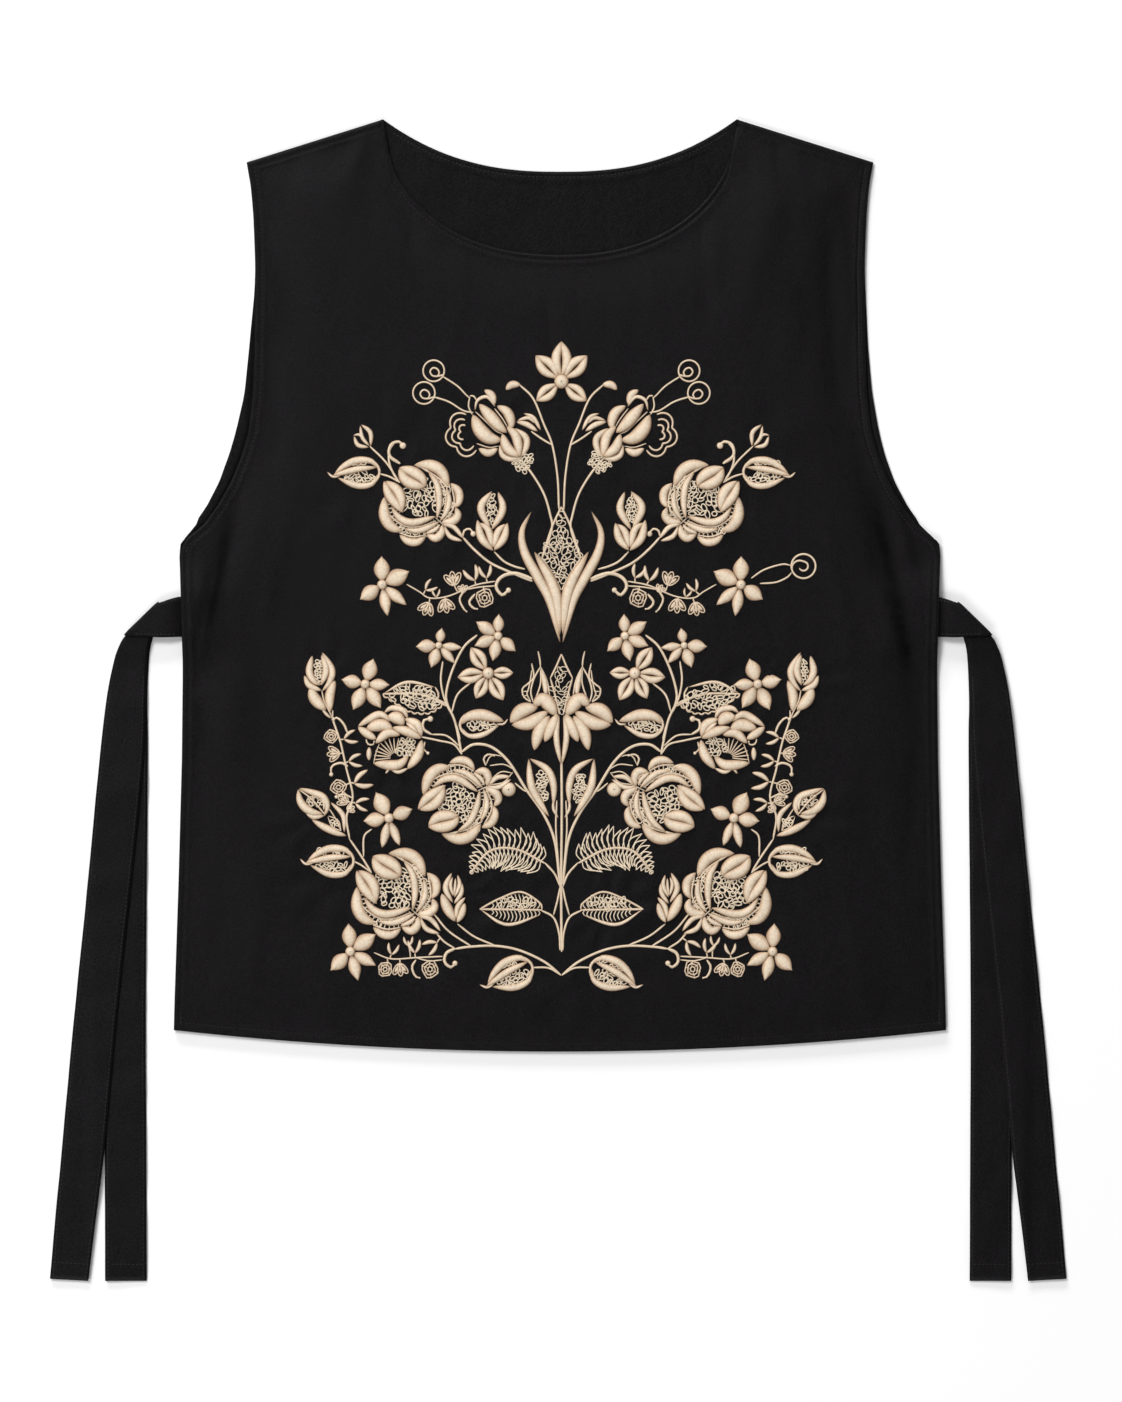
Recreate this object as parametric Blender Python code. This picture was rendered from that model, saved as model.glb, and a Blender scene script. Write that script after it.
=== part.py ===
"""Black pull-over waistcoat with side ties and padded cream embroidery, laid flat and front up.

Lengths in the tables are millimetres; the meshes are metres. X runs to the picture's right,
+Y to the neck and +Z up. The back panel and the ties rest on Z = 0.
"""

import math

import bpy
import numpy as np

MM = 0.001
COLLECTION = "embroidered_waistcoat"

BACK_WALL = 1.4
FRONT_WALL = 1.5
TIE_WALL = 1.2
GAP = 0.3
HEM_BAND = 7.5
HEM_RISE = 0.35
EDGE_ROUND = 0.45

NECK_HALF = 116.5
NECK_TOP = 383.0
FRONT_NECK_DROP = 89.0
BACK_NECK_DROP = 34.3
SHOULDER_TIP = (206.6, 354.6)
HEM_CENTRE = -233.4
HEM_RISE_AT_SIDE = 14.2
SIDE_FOOT = (254.6, -217.5)

# Half width of the panels, from the hem corner up the side and round the armhole.
# (out from the middle, up)
SIDE_EDGE = [
    (254.6, -217.5),
    (254.1, -197.8),
    (251.5, -120.0),
    (249.3, -39.4),
    (248.6, 27.3),
    (249.7, 70.2),
    (250.9, 96.0),
    (249.8, 104.0),
    (243.0, 109.5),
    (235.4, 115.4),
    (226.1, 128.0),
    (216.9, 144.1),
    (210.1, 160.9),
    (205.1, 177.7),
    (202.3, 204.8),
    (201.4, 232.1),
    (200.8, 285.0),
    (202.2, 320.3),
    (203.9, 339.4),
    (206.6, 354.6),
]

# How far the back panel shows past the front at the armholes. (up, left, right)
BACK_SHOWS = [
    (104.0, 0.0, 0.0),
    (119.7, 6.5, 3.0),
    (156.6, 8.5, 4.4),
    (178.4, 8.5, 5.2),
    (198.2, 6.0, 3.8),
    (235.0, 3.5, 1.8),
    (270.1, 0.5, 0.6),
    (300.0, 0.0, 0.0),
]

# Largest folds of the front. (start x, start y, end x, end y, half width, rise or fall)
FRONT_FOLDS = [
    (-219.8, 124.3, -238.3, 27.9, 7.0, -1.5),
    (-205.0, 96.0, -222.0, -30.0, 11.0, 0.9),
    (203.9, 159.3, 213.2, 79.4, 7.0, -1.5),
    (213.2, 79.4, 240.9, -7.7, 7.0, -1.3),
    (220.4, 135.5, 229.7, 101.8, 5.0, 0.9),
    (-196.0, 250.0, -188.0, 160.0, 9.0, -0.9),
    (176.0, 300.0, 184.0, 205.0, 10.0, -0.8),
    (-150.0, 330.0, -120.0, 262.0, 12.0, 0.7),
    (140.0, 325.0, 118.0, 250.0, 11.0, 0.8),
    (-214.0, -90.0, -226.0, -190.0, 11.0, -0.9),
    (206.0, -60.0, 219.0, -205.0, 12.0, -1.0),
    (-205.0, 60.0, -190.0, -40.0, 12.0, -0.7),
]

SWELL = 2.4
SWELL_RUN = 42.0
TIE_ROOT_UP = 55.0
TIE_ROOT_RISE = 3.6

# The right ties lie a little nearer the middle than the left ones.
RIGHT_TIE_SHIFT = -2.3

# The tie that lies on top, as its two edges, from the root to the free end.
# (part, first edge out, first edge up, second edge out, second edge up)
UPPER_TIE = [
    ("across", 238.0, 68.2, 238.0, 41.8),
    ("across", 249.5, 68.4, 250.0, 41.8),
    ("across", 256.5, 66.8, 262.0, 41.4),
    ("across", 261.0, 65.2, 275.0, 42.0),
    ("fold", 264.0, 64.2, 286.4, 42.4),
    ("down", 264.8, 58.0, 288.6, 39.6),
    ("down", 268.0, 46.0, 291.0, 34.6),
    ("down", 271.3, 35.8, 293.6, 27.6),
    ("down", 272.6, 22.0, 297.4, 10.6),
    ("down", 273.2, 0.0, 299.8, -6.0),
    ("down", 274.6, -39.4, 303.6, -39.4),
    ("down", 282.4, -118.0, 311.2, -118.0),
    ("down", 291.1, -197.8, 319.4, -197.8),
    ("down", 296.0, -250.0, 324.4, -250.0),
    ("down", 301.0, -302.7, 329.2, -302.7),
    ("down", 306.4, -345.0, 333.2, -344.4),
    ("down", 311.0, -383.0, 336.4, -381.6),
]

# The tie under it, in the same columns.
LOWER_TIE = [
    ("across", 238.0, 67.8, 238.0, 42.2),
    ("across", 249.5, 67.6, 250.0, 42.2),
    ("across", 258.0, 64.6, 268.0, 42.2),
    ("fold", 262.0, 62.2, 283.4, 42.0),
    ("down", 263.2, 56.0, 285.6, 39.0),
    ("down", 267.6, 44.0, 288.6, 32.6),
    ("down", 270.4, 34.0, 291.4, 25.4),
    ("down", 271.6, 20.0, 295.4, 8.0),
    ("down", 272.2, -4.0, 298.2, -8.0),
    ("down", 271.9, -39.4, 299.6, -39.4),
    ("down", 273.2, -197.8, 301.0, -197.8),
    ("down", 272.9, -302.7, 300.3, -302.7),
    ("down", 272.6, -383.0, 300.0, -383.0),
]
FOLD_GAP = 0.5
FOLD_STEPS = 6

# Padded motifs of one half, mirrored to the other. Turn is the way the tip points, in
# degrees from straight out towards the neck.
# (name, kind, out, up, length, width, turn, bend)
HALF_MOTIFS = [
    ("peony", "rose", 43.6, 183.4, 47.0, 38.0, 118.0, 0.0),
    ("rose_chest", "rose", 93.1, 129.8, 57.0, 55.0, 60.0, 0.0),
    ("rose_waist", "rose", 67.0, -66.0, 58.0, 54.0, 20.0, 0.0),
    ("rose_hem", "rose", 109.6, -127.0, 60.0, 56.0, 60.0, 0.0),
    ("half_peony", "rose", 113.2, -26.0, 45.0, 42.0, 0.0, 0.0),
    ("blossom_brow", "blossom", 117.6, 76.2, 38.5, 38.5, 70.0, 0.0),
    ("blossom_a", "blossom", 80.8, 36.2, 29.0, 29.0, 88.0, 0.0),
    ("blossom_b", "blossom", 41.6, 42.9, 30.0, 30.0, 84.0, 0.0),
    ("blossom_c", "blossom", 48.4, 16.3, 35.0, 35.0, 64.0, 0.0),
    ("blossom_d", "blossom", 129.6, 10.6, 32.0, 32.0, 66.0, 0.0),
    ("blossom_e", "blossom", 113.6, -77.6, 36.0, 36.0, 58.0, 0.0),
    ("blossom_f", "blossom", 139.0, -165.4, 37.0, 37.0, 80.0, 0.0),
    ("bud_chest", "bud", 46.2, 117.8, 39.0, 20.0, 92.0, 0.0),
    ("bud_side", "bud", 158.6, 12.0, 41.0, 20.0, 98.0, 0.0),
    ("bud_hem", "bud", 71.0, -130.2, 34.0, 17.0, 88.0, 0.0),
    ("leaf_chest", "leaf", 137.6, 149.8, 36.0, 21.0, 0.0, 0.10),
    ("leaf_mesh", "leaf", 95.0, 2.4, 38.0, 19.5, 8.0, -0.05),
    ("leaf_middle", "leaf", 52.6, -14.6, 34.0, 20.5, 170.0, 0.06),
    ("leaf_upright", "leaf", 11.8, -57.2, 39.0, 15.0, 72.0, 0.0),
    ("leaf_pair", "leaf", 156.2, -75.0, 48.0, 19.0, 44.0, 0.0),
    ("leaf_lower", "leaf", 152.0, -106.2, 37.0, 22.5, 2.0, 0.10),
    ("leaf_fern", "leaf", 35.6, -100.8, 48.0, 33.0, -12.0, -0.12),
    ("leaf_net", "leaf", 30.8, -137.4, 40.0, 23.0, 2.0, 0.0),
    ("leaf_hem", "leaf", 34.8, -180.2, 38.0, 21.5, -16.0, -0.08),
    ("tulip_leaf", "blade", 16.8, 80.5, 86.0, 12.0, 77.0, 0.118),
]

# Padded motifs on the middle line, in the same columns.
MIDDLE_MOTIFS = [
    ("crown_blossom", "blossom", 0.0, 209.6, 50.0, 50.0, 90.0, 0.0),
    ("tulip_heart", "leaf", 0.0, 105.0, 43.0, 18.0, 90.0, 0.0),
    ("iris", "iris", 0.0, 0.0, 62.0, 64.0, 90.0, 0.0),
]
MOTIF_MIDDLE = 1.0

# Rings of a motif from its edge inwards: (kind, ring scale, height over the cloth)
MOTIF_RINGS = {
    "rose": [(1.0, 0.75), (0.82, 1.75), (0.42, 1.35)],
    "blossom": [(1.0, 0.65), (0.72, 1.45), (0.26, 1.7)],
    "leaf": [(1.0, 0.6), (0.74, 1.45), (0.3, 0.95)],
    "bud": [(1.0, 0.6), (0.74, 1.5), (0.3, 1.1)],
    "blade": [(1.0, 0.6), (0.6, 1.3)],
    "iris": [(1.0, 0.65), (0.78, 1.5), (0.36, 1.2)],
}
MOTIF_GAP = 0.32
MOTIF_POINTS = {"rose": 20, "blossom": 20, "leaf": 14, "bud": 14, "blade": 14, "iris": 20}

# Reach of the iris round its middle. (degrees, share of the half width)
IRIS_REACH = [
    (0.0, 0.86), (20.0, 0.92), (36.0, 0.62), (54.0, 0.52), (72.0, 0.60), (90.0, 1.12),
    (108.0, 0.60), (126.0, 0.52), (144.0, 0.62), (160.0, 0.92), (180.0, 0.86),
    (200.0, 1.08), (218.0, 0.98), (236.0, 1.06), (252.0, 0.72), (270.0, 1.20),
    (288.0, 0.72), (304.0, 1.06), (322.0, 0.98), (340.0, 1.08),
]

COLOURS = {
    "black_cotton": ((0.0105, 0.0100, 0.0110), 0.82),
    "black_cotton_back": ((0.0092, 0.0088, 0.0096), 0.85),
    "black_tie_cotton": ((0.0120, 0.0114, 0.0124), 0.8),
    "cream_thread": ((0.78, 0.62, 0.43), 0.5),
    "pale_thread": ((0.84, 0.70, 0.53), 0.5),
    "netted_thread": ((0.55, 0.45, 0.34), 0.6),
}


def clear_scene():
    for item in list(bpy.data.objects):
        bpy.data.objects.remove(item, do_unlink=True)


def make_collection():
    made = bpy.data.collections.new(COLLECTION)
    bpy.context.scene.collection.children.link(made)
    return made


def make_material(name):
    colour, rough = COLOURS[name]
    made = bpy.data.materials.new(name)
    made.use_nodes = True
    shader = made.node_tree.nodes["Principled BSDF"]
    shader.inputs["Base Color"].default_value = (*colour, 1.0)
    shader.inputs["Roughness"].default_value = rough
    shader.inputs["Metallic"].default_value = 0.0
    return made


def smooth(value):
    held = np.clip(value, 0.0, 1.0)
    return held * held * (3.0 - 2.0 * held)


def add_object(name, points, faces, material, collection):
    """Points are in millimetres."""
    mesh = bpy.data.meshes.new(name)
    mesh.from_pydata([tuple(p) for p in np.asarray(points) * MM], [], faces)
    mesh.materials.append(material)
    for polygon in mesh.polygons:
        polygon.use_smooth = True
    mesh.update()
    made = bpy.data.objects.new(name, mesh)
    collection.objects.link(made)
    return made


def hem_up(across):
    return HEM_CENTRE + HEM_RISE_AT_SIDE * (across / SIDE_FOOT[0]) ** 2


def front_neck_up(across):
    share = np.clip(np.abs(across) / NECK_HALF, 0.0, 1.0)
    return NECK_TOP - FRONT_NECK_DROP * (1.0 - share**2.25) ** 0.5


def back_neck_up(across):
    share = np.clip(np.abs(across) / NECK_HALF, 0.0, 1.0)
    return NECK_TOP - BACK_NECK_DROP * (1.0 - share**2.45)


def top_up(across, neck_up):
    """Height of the top edge: the neck in the middle and a straight shoulder to each side."""
    out = np.abs(across)
    share = (out - NECK_HALF) / (SHOULDER_TIP[0] - NECK_HALF)
    shoulder = NECK_TOP + (SHOULDER_TIP[1] - NECK_TOP) * share
    return np.where(out < NECK_HALF, neck_up(across), shoulder)


def side_out(up, column_of_back=None):
    table = np.array(SIDE_EDGE)
    out = np.interp(up, table[:, 1], table[:, 0])
    if column_of_back is not None:
        shows = np.array(BACK_SHOWS)
        out = out + np.interp(up, shows[:, 0], shows[:, column_of_back])
    return out


def spread(stops, count):
    """The stops with further ones put in evenly until there are count."""
    stops = list(stops)
    while len(stops) < count:
        widths = np.diff(stops)
        widest = int(np.argmax(widths))
        stops.insert(widest + 1, 0.5 * (stops[widest] + stops[widest + 1]))
    return np.array(stops)


def panel_columns(count):
    neck = 0.5 - 0.5 * NECK_HALF / SHOULDER_TIP[0]
    half = [0.0, 0.006, 0.022, neck - 0.02, neck, neck + 0.012, neck + 0.03, 0.5]
    stops = half + [1.0 - stop for stop in reversed(half[:-1])]
    return spread(stops, count)


def panel_rows(count):
    corner = (104.0 - SIDE_FOOT[1]) / (SHOULDER_TIP[1] - SIDE_FOOT[1])
    stops = [0.0, 0.004, 0.02, corner - 0.02, corner, corner + 0.015, corner + 0.05]
    stops = stops + [corner + 0.1, corner + 0.15, 0.978, 0.994, 1.0]
    return spread(stops, count)


def panel_grid(columns, rows, neck_up, is_back):
    """Plan of a panel, blended between its four edges."""
    s = columns[None, :]
    t = rows[:, None]
    tall = SIDE_FOOT[1] + (SHOULDER_TIP[1] - SIDE_FOOT[1]) * rows
    right = np.stack([side_out(tall, 2 if is_back else None), tall], axis=1)[:, None, :]
    left = np.stack([-side_out(tall, 1 if is_back else None), tall], axis=1)[:, None, :]
    low_x = (2.0 * columns - 1.0) * SIDE_FOOT[0]
    high_x = (2.0 * columns - 1.0) * SHOULDER_TIP[0]
    low = np.stack([low_x, hem_up(low_x)], axis=1)[None, :, :]
    high = np.stack([high_x, top_up(high_x, neck_up)], axis=1)[None, :, :]
    s = s[:, :, None]
    t = t[:, :, None]
    across = (1.0 - s) * left + s * right
    along = (1.0 - t) * low + t * high
    corners = (1.0 - s) * (1.0 - t) * low[:, :1] + s * (1.0 - t) * low[:, -1:]
    corners = corners + (1.0 - s) * t * high[:, :1] + s * t * high[:, -1:]
    return across + along - corners


def panel_edge(neck_up, is_back):
    """The outline of a panel as a closed run of points."""
    grid = panel_grid(panel_columns(90), panel_rows(90), neck_up, is_back)
    return np.concatenate([grid[0], grid[1:, -1], grid[-1, -2::-1], grid[-2:0:-1, 0]])


def reach_to(points, path):
    """Distance from each point to the nearest stretch of the closed path."""
    start = path
    run = np.roll(path, -1, axis=0) - path
    away = points[:, None, :] - start[None, :, :]
    share = (away * run).sum(axis=2) / np.maximum((run * run).sum(axis=1), 1e-9)
    share = np.clip(share, 0.0, 1.0)
    return np.linalg.norm(away - share[:, :, None] * run, axis=2).min(axis=1)


def fold_lift(points):
    total = np.zeros(len(points))
    for x0, y0, x1, y1, half_width, rise in FRONT_FOLDS:
        start = np.array([x0, y0])
        run = np.array([x1, y1]) - start
        share = np.clip((points - start) @ run / (run @ run), -0.35, 1.35)
        away = np.linalg.norm(points - start - share[:, None] * run, axis=1)
        ends = smooth(np.minimum(share + 0.35, 1.35 - share) / 0.5)
        total = total + rise * ends * np.exp(-((away / half_width) ** 2))
    return total


def front_lift(points, edge):
    """How far the front stands off the back: a soft swell, the folds and the rise over the ties."""
    inside = reach_to(points, edge)
    inner = smooth(inside / SWELL_RUN)
    waves = 0.35 * np.sin(points[:, 0] / 61.0 + 0.8) * np.sin(points[:, 1] / 83.0 + 0.3)
    cloth = inner * (SWELL + waves)
    cloth = cloth + smooth(inside / 14.0) * fold_lift(points)
    cloth = np.maximum(cloth, 0.0)
    near = np.exp(-(((points[:, 1] - TIE_ROOT_UP) / 30.0) ** 4))
    near = near * smooth((np.abs(points[:, 0]) - 176.0) / 54.0)
    return np.maximum(cloth, TIE_ROOT_RISE * near)


def front_top(points, edge):
    return BACK_WALL + GAP + FRONT_WALL + front_lift(points, edge)


def band(points, edge):
    """1 on the turned-in hem along the edge and 0 further in."""
    return 1.0 - smooth((reach_to(points, edge) - HEM_BAND + 1.5) / 3.0)


def sheet_faces(rows, columns):
    """Quads of a closed sheet: top grid, bottom grid and the four walls between them."""
    faces = []
    under = rows * columns
    for r in range(rows - 1):
        for c in range(columns - 1):
            a = r * columns + c
            b = a + 1
            d = a + columns
            faces.append((a, b, d + 1, d))
            faces.append((under + a, under + d, under + d + 1, under + b))
    for c in range(columns - 1):
        a = c
        faces.append((under + a, under + a + 1, a + 1, a))
        a = (rows - 1) * columns + c
        faces.append((a, a + 1, under + a + 1, under + a))
    for r in range(rows - 1):
        a = r * columns
        faces.append((a, a + columns, under + a + columns, under + a))
        a = r * columns + columns - 1
        faces.append((under + a, under + a + columns, a + columns, a))
    return faces


def rim_drop(rows, columns):
    """The outermost points sit a little lower, so that the edge reads as rounded."""
    drop = np.zeros((rows, columns))
    drop[0, :] = EDGE_ROUND
    drop[-1, :] = EDGE_ROUND
    drop[:, 0] = EDGE_ROUND
    drop[:, -1] = EDGE_ROUND
    return drop.ravel()


def add_back_panel(collection, material):
    grid = panel_grid(panel_columns(25), panel_rows(26), back_neck_up, True)
    rows, columns = grid.shape[:2]
    plan = grid.reshape(-1, 2)
    edge = panel_edge(back_neck_up, True)
    shown = 1.0 - smooth((np.abs(plan[:, 0]) - 88.0) / 14.0)
    shown = shown * smooth((plan[:, 1] - 300.0) / 20.0)
    top = BACK_WALL + HEM_RISE * band(plan, edge) * shown - rim_drop(rows, columns)
    points = np.concatenate([
        np.column_stack([plan, top]),
        np.column_stack([plan, np.zeros(len(plan))]),
    ])
    add_object("back_panel", points, sheet_faces(rows, columns), material, collection)


def add_front_panel(collection, material):
    grid = panel_grid(panel_columns(33), panel_rows(36), front_neck_up, False)
    rows, columns = grid.shape[:2]
    plan = grid.reshape(-1, 2)
    edge = panel_edge(front_neck_up, False)
    top = front_top(plan, edge)
    under = top - FRONT_WALL
    top = top + HEM_RISE * band(plan, edge) - rim_drop(rows, columns)
    points = np.concatenate([np.column_stack([plan, top]), np.column_stack([plan, under])])
    add_object("front_panel", points, sheet_faces(rows, columns), material, collection)


def second_edge_of_lower(up):
    rows = np.array([row[1:] for row in LOWER_TIE if row[0] == "down"])[::-1]
    return np.interp(up, rows[:, 3], rows[:, 2])


def upper_tie_mid(part, out, up):
    """Middle height of the upper tie's cloth over the lower tie, the floor and itself."""
    if part == "across":
        return 3.85 + 1.65 * smooth((out - 250.0) / 10.0)
    on_lower = 2.15 + 1.65 * smooth((up - 22.0) / 18.0)
    off = smooth((out - second_edge_of_lower(up) - 6.0) / 9.0)
    off = off * smooth((-60.0 - up) / 60.0)
    return on_lower + (0.5 * TIE_WALL - on_lower) * off


def lower_tie_mid(part, out, up):
    return np.full(np.shape(out), 2.3 if part == "across" else 0.5 * TIE_WALL)


def tie_rows(table, mid_height, across_count):
    """Rows of (middle point, way the outer face looks) along a folded strip."""
    share = np.linspace(0.0, 1.0, across_count)[:, None]
    rows = []
    for part, out_a, up_a, out_b, up_b in table:
        line = np.array([out_a, up_a]) * (1.0 - share) + np.array([out_b, up_b]) * share
        if part != "fold":
            mid = mid_height(part, line[:, 0], line[:, 1])
            faces_up = 1.0 if part == "across" else -1.0
            ways = np.tile([0.0, 0.0, faces_up], (across_count, 1))
            rows.append((np.column_stack([line, mid]), ways))
            continue
        run = line[-1] - line[0]
        outward = np.array([-run[1], run[0]]) / np.linalg.norm(run)
        bend = 0.5 * (FOLD_GAP + TIE_WALL)
        middle = mid_height("across", line[:, 0] + 40.0, line[:, 1]) - bend
        for angle in np.linspace(0.5 * math.pi, -0.5 * math.pi, FOLD_STEPS + 1):
            way = np.array([*(outward * math.cos(angle)), math.sin(angle)])
            spot = np.column_stack([line, middle]) + bend * way
            rows.append((spot, np.tile(way, (across_count, 1))))
    return rows


def add_tie(name, table, mid_height, across_count, side, collection, material):
    rows = tie_rows(table, mid_height, across_count)
    middle = np.concatenate([row[0] for row in rows])
    ways = np.concatenate([row[1] for row in rows])
    points = np.concatenate([
        middle + 0.5 * TIE_WALL * ways,
        middle - 0.5 * TIE_WALL * ways,
    ])
    shift = RIGHT_TIE_SHIFT if side > 0 else 0.0
    points = points * np.array([side, 1.0, 1.0]) + np.array([shift, 0.0, 0.0])
    faces = sheet_faces(len(rows), across_count)
    if side < 0:
        faces = [face[::-1] for face in faces]
    add_object(name, points, faces, material, collection)


def lobed(count, lobes, depth, sharpness):
    """Share of the full reach at each point of a closed ring with even lobes."""
    angle = np.arange(count) * 2.0 * math.pi / count
    wave = np.abs(np.cos(0.5 * lobes * angle)) ** sharpness
    return angle, 1.0 - depth + depth * wave


def round_outline(kind, count, length, width):
    if kind == "blossom":
        angle, reach = lobed(count, 5, 0.5, 0.9)
    elif kind == "iris":
        table = np.array(IRIS_REACH)
        angle = np.radians(table[:, 0]) - 0.5 * math.pi
        reach = table[:, 1]
    else:
        angle, reach = lobed(count, 9, 0.06, 1.0)
    outline = np.column_stack([
        0.5 * length * reach * np.cos(angle),
        0.5 * width * reach * np.sin(angle),
    ])
    return outline, np.zeros_like(outline)


def long_outline(kind, count, length, width, bend):
    """A leaf, bud or blade: points from the base up one side to the tip and down the other."""
    half = count // 2
    t = np.linspace(0.0, 1.0, half + 1)
    swell = {"leaf": 0.80, "bud": 0.95, "blade": 1.0}[kind]
    wide = np.sin(math.pi * t**swell) ** 0.8 * (1.0 - 0.25 * t)
    wide[0] = 0.0
    wide[-1] = 0.0
    along = (t - 0.5) * length
    sway = bend * length * (4.0 * (t - 0.5) ** 2 - 0.5)
    right = np.column_stack([along, sway - 0.56 * width * wide])
    left = np.column_stack([along, sway + 0.56 * width * wide])[-2:0:-1]
    core_run = np.clip(t, 0.12, 0.9)
    core = np.column_stack([(core_run - 0.5) * length, sway])
    return np.concatenate([right, left]), np.concatenate([core, core[-2:0:-1]])


def motif_rings(row, side):
    """Plan of each ring of a motif, on the panel."""
    name, kind, out, up, length, width, turn, bend = row
    count = MOTIF_POINTS[kind]
    if kind in ("leaf", "bud", "blade"):
        outline, core = long_outline(kind, count, length, width, bend)
    else:
        outline, core = round_outline(kind, count, length, width)
    angle = math.radians(turn)
    turned = np.array([[math.cos(angle), math.sin(angle)], [-math.sin(angle), math.cos(angle)]])
    rings = []
    for scale, height in MOTIF_RINGS[kind]:
        plan = (core + scale * (outline - core)) @ turned + np.array([out, up])
        rings.append((plan * np.array([side, 1.0]) + np.array([MOTIF_MIDDLE, 0.0]), height))
    return rings


def ring_faces(levels, count, base):
    """Bands between rings and a strip that closes the innermost one."""
    faces = []
    for level in range(levels - 1):
        for i in range(count):
            j = (i + 1) % count
            a = base + level * count
            b = a + count
            faces.append((a + i, a + j, b + j, b + i))
    inner = base + (levels - 1) * count
    for i in range(count // 2):
        j = (count - i) % count
        corners = (inner + i, inner + i + 1, inner + count - i - 1, inner + j)
        faces.append(tuple(dict.fromkeys(corners)))
    return [face for face in faces if len(face) > 2]


def add_motif(name, row, side, edge, collection, material):
    rings = motif_rings(row, side)
    kept = [rings[0], rings[-1]]
    count = len(rings[0][0])
    top = []
    for plan, height in rings:
        top.append(np.column_stack([plan, front_top(plan, edge) + MOTIF_GAP + height]))
    under = []
    for plan, height in kept:
        under.append(np.column_stack([plan, front_top(plan, edge) + MOTIF_GAP]))
    points = np.concatenate(top + under)
    faces = ring_faces(len(rings), count, 0)
    base = len(rings) * count
    faces = faces + [face[::-1] for face in ring_faces(len(kept), count, base)]
    for i in range(count):
        j = (i + 1) % count
        faces.append((base + i, base + j, j, i))
    if side < 0:
        faces = [face[::-1] for face in faces]
    add_object(name, points, faces, material, collection)


def motif_material(row, materials):
    if row[0] in ("leaf_mesh", "leaf_fern", "leaf_net", "tulip_heart"):
        return materials["netted_thread"]
    if row[1] == "blossom":
        return materials["pale_thread"]
    return materials["cream_thread"]


def add_embroidery(collection, materials):
    edge = panel_edge(front_neck_up, False)
    for row in MIDDLE_MOTIFS:
        add_motif(row[0], row, 1.0, edge, collection, motif_material(row, materials))
    for row in HALF_MOTIFS:
        material = motif_material(row, materials)
        add_motif(row[0] + "_right", row, 1.0, edge, collection, material)
        add_motif(row[0] + "_left", row, -1.0, edge, collection, material)


def add_ties(collection, material):
    for word, side in (("right", 1.0), ("left", -1.0)):
        add_tie(
            "tie_upper_" + word, UPPER_TIE, upper_tie_mid, 6, side, collection, material
        )
        add_tie(
            "tie_lower_" + word, LOWER_TIE, lower_tie_mid, 3, side, collection, material
        )


def build():
    clear_scene()
    collection = make_collection()
    materials = {name: make_material(name) for name in COLOURS}
    add_back_panel(collection, materials["black_cotton_back"])
    add_front_panel(collection, materials["black_cotton"])
    add_ties(collection, materials["black_tie_cotton"])
    add_embroidery(collection, materials)


build()
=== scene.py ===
import math

import bpy
import numpy as np
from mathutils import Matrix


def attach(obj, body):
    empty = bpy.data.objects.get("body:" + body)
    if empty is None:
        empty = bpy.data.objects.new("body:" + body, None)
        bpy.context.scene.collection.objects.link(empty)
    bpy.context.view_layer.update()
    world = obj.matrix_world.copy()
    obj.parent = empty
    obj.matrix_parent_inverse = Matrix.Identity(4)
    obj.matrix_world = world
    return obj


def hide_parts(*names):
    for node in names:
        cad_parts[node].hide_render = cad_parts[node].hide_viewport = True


# Lengths are millimetres, and the meshes are metres. X runs to the picture's right and Y
# to the neck. The embroidery is charted in units of 0.66 mm, out from the middle
# and up, for one half, and mirrored. Points in a table are pairs of numbers in one row.

mm = 0.001
chartUnit = 0.66
chartMiddle = 1.0

# How far an edge of the sewing goes into the cloth, what each layer of it adds, and the
# step of the raster that it's laid on.
sunk = 0.12
layerRise = 0.30
mapStep = 2.0

# Where the points of a petal and of a stem lie across it.
padAcross = np.array([-1.0, -0.97, -0.78, -0.42, 0.0, 0.42, 0.78, 0.97, 1.0])
stemAcross = np.array([-1.0, -0.8, 0.0, 0.8, 1.0])

# What a user would change. A neck line is its drop, its fullness and its roundness. A
# light is its power, its two sides and its place.
garment = {
    "backWall": 1.4,
    "gap": 0.3,
    "frontWall": 1.5,
    "tieWall": 1.2,
    "tieWide": 27.0,
    "tieBend": 0.85,
    "neckHalf": 116.5,
    "neckTop": 383.0,
    "frontNeck": (89.0, 2.25, 0.5),
    "backNeck": (34.3, 2.45, 1.0),
    "shoulderTip": (206.6, 354.6),
    "hemCentre": -233.4,
    "hemRiseAtSide": 14.2,
    "sideFoot": (254.6, -217.5),
    "hemRise": 0.35,
    "hemBand": 7.5,
    "seamDeep": 0.36,
    "seamWide": 0.7,
    "beadRise": 0.30,
    "beadIn": 1.5,
    "beadWide": 0.9,
    "roundDeep": 1.1,
    "roundIn": 1.6,
    "rightTieShift": -2.3,
}
cloth = {
    "base": "#0d0b0d",
    "inside": "#0b090b",
    "strip": "#0e0c0e",
    "roughness": 0.56,
    "gloss": 0.10,
    "sheen": 0.02,
    "swell": 2.4,
    "swellRun": 42.0,
    "tieRootUp": 55.0,
    "tieRootRise": 3.6,
    "puckers": 0.42,
    "wrinkles": 84,
}
stitching = {
    "long": 1.7,
    "pitch": 2.7,
    "wide": 0.5,
    "colour": "#242224",
    "neck": 4.0,
    "armhole": 4.9,
    "side": 4.4,
    "hem": 5.7,
    "backNeck": 3.6,
    "tie": 1.9,
}
# Thread tones: the crest is partly painted highlight, the rim partly painted shade on the steep sides
thread = {
    "crest": "#e8d6be",
    "body": "#d2b799",
    "rim": "#704b30",
    "lace": "#e6d4ba",
    "stem": "#dcc4a6",
    "strand": 0.42,
    "roughness": 0.52,
    "sheen": 0.25,
}
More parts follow.
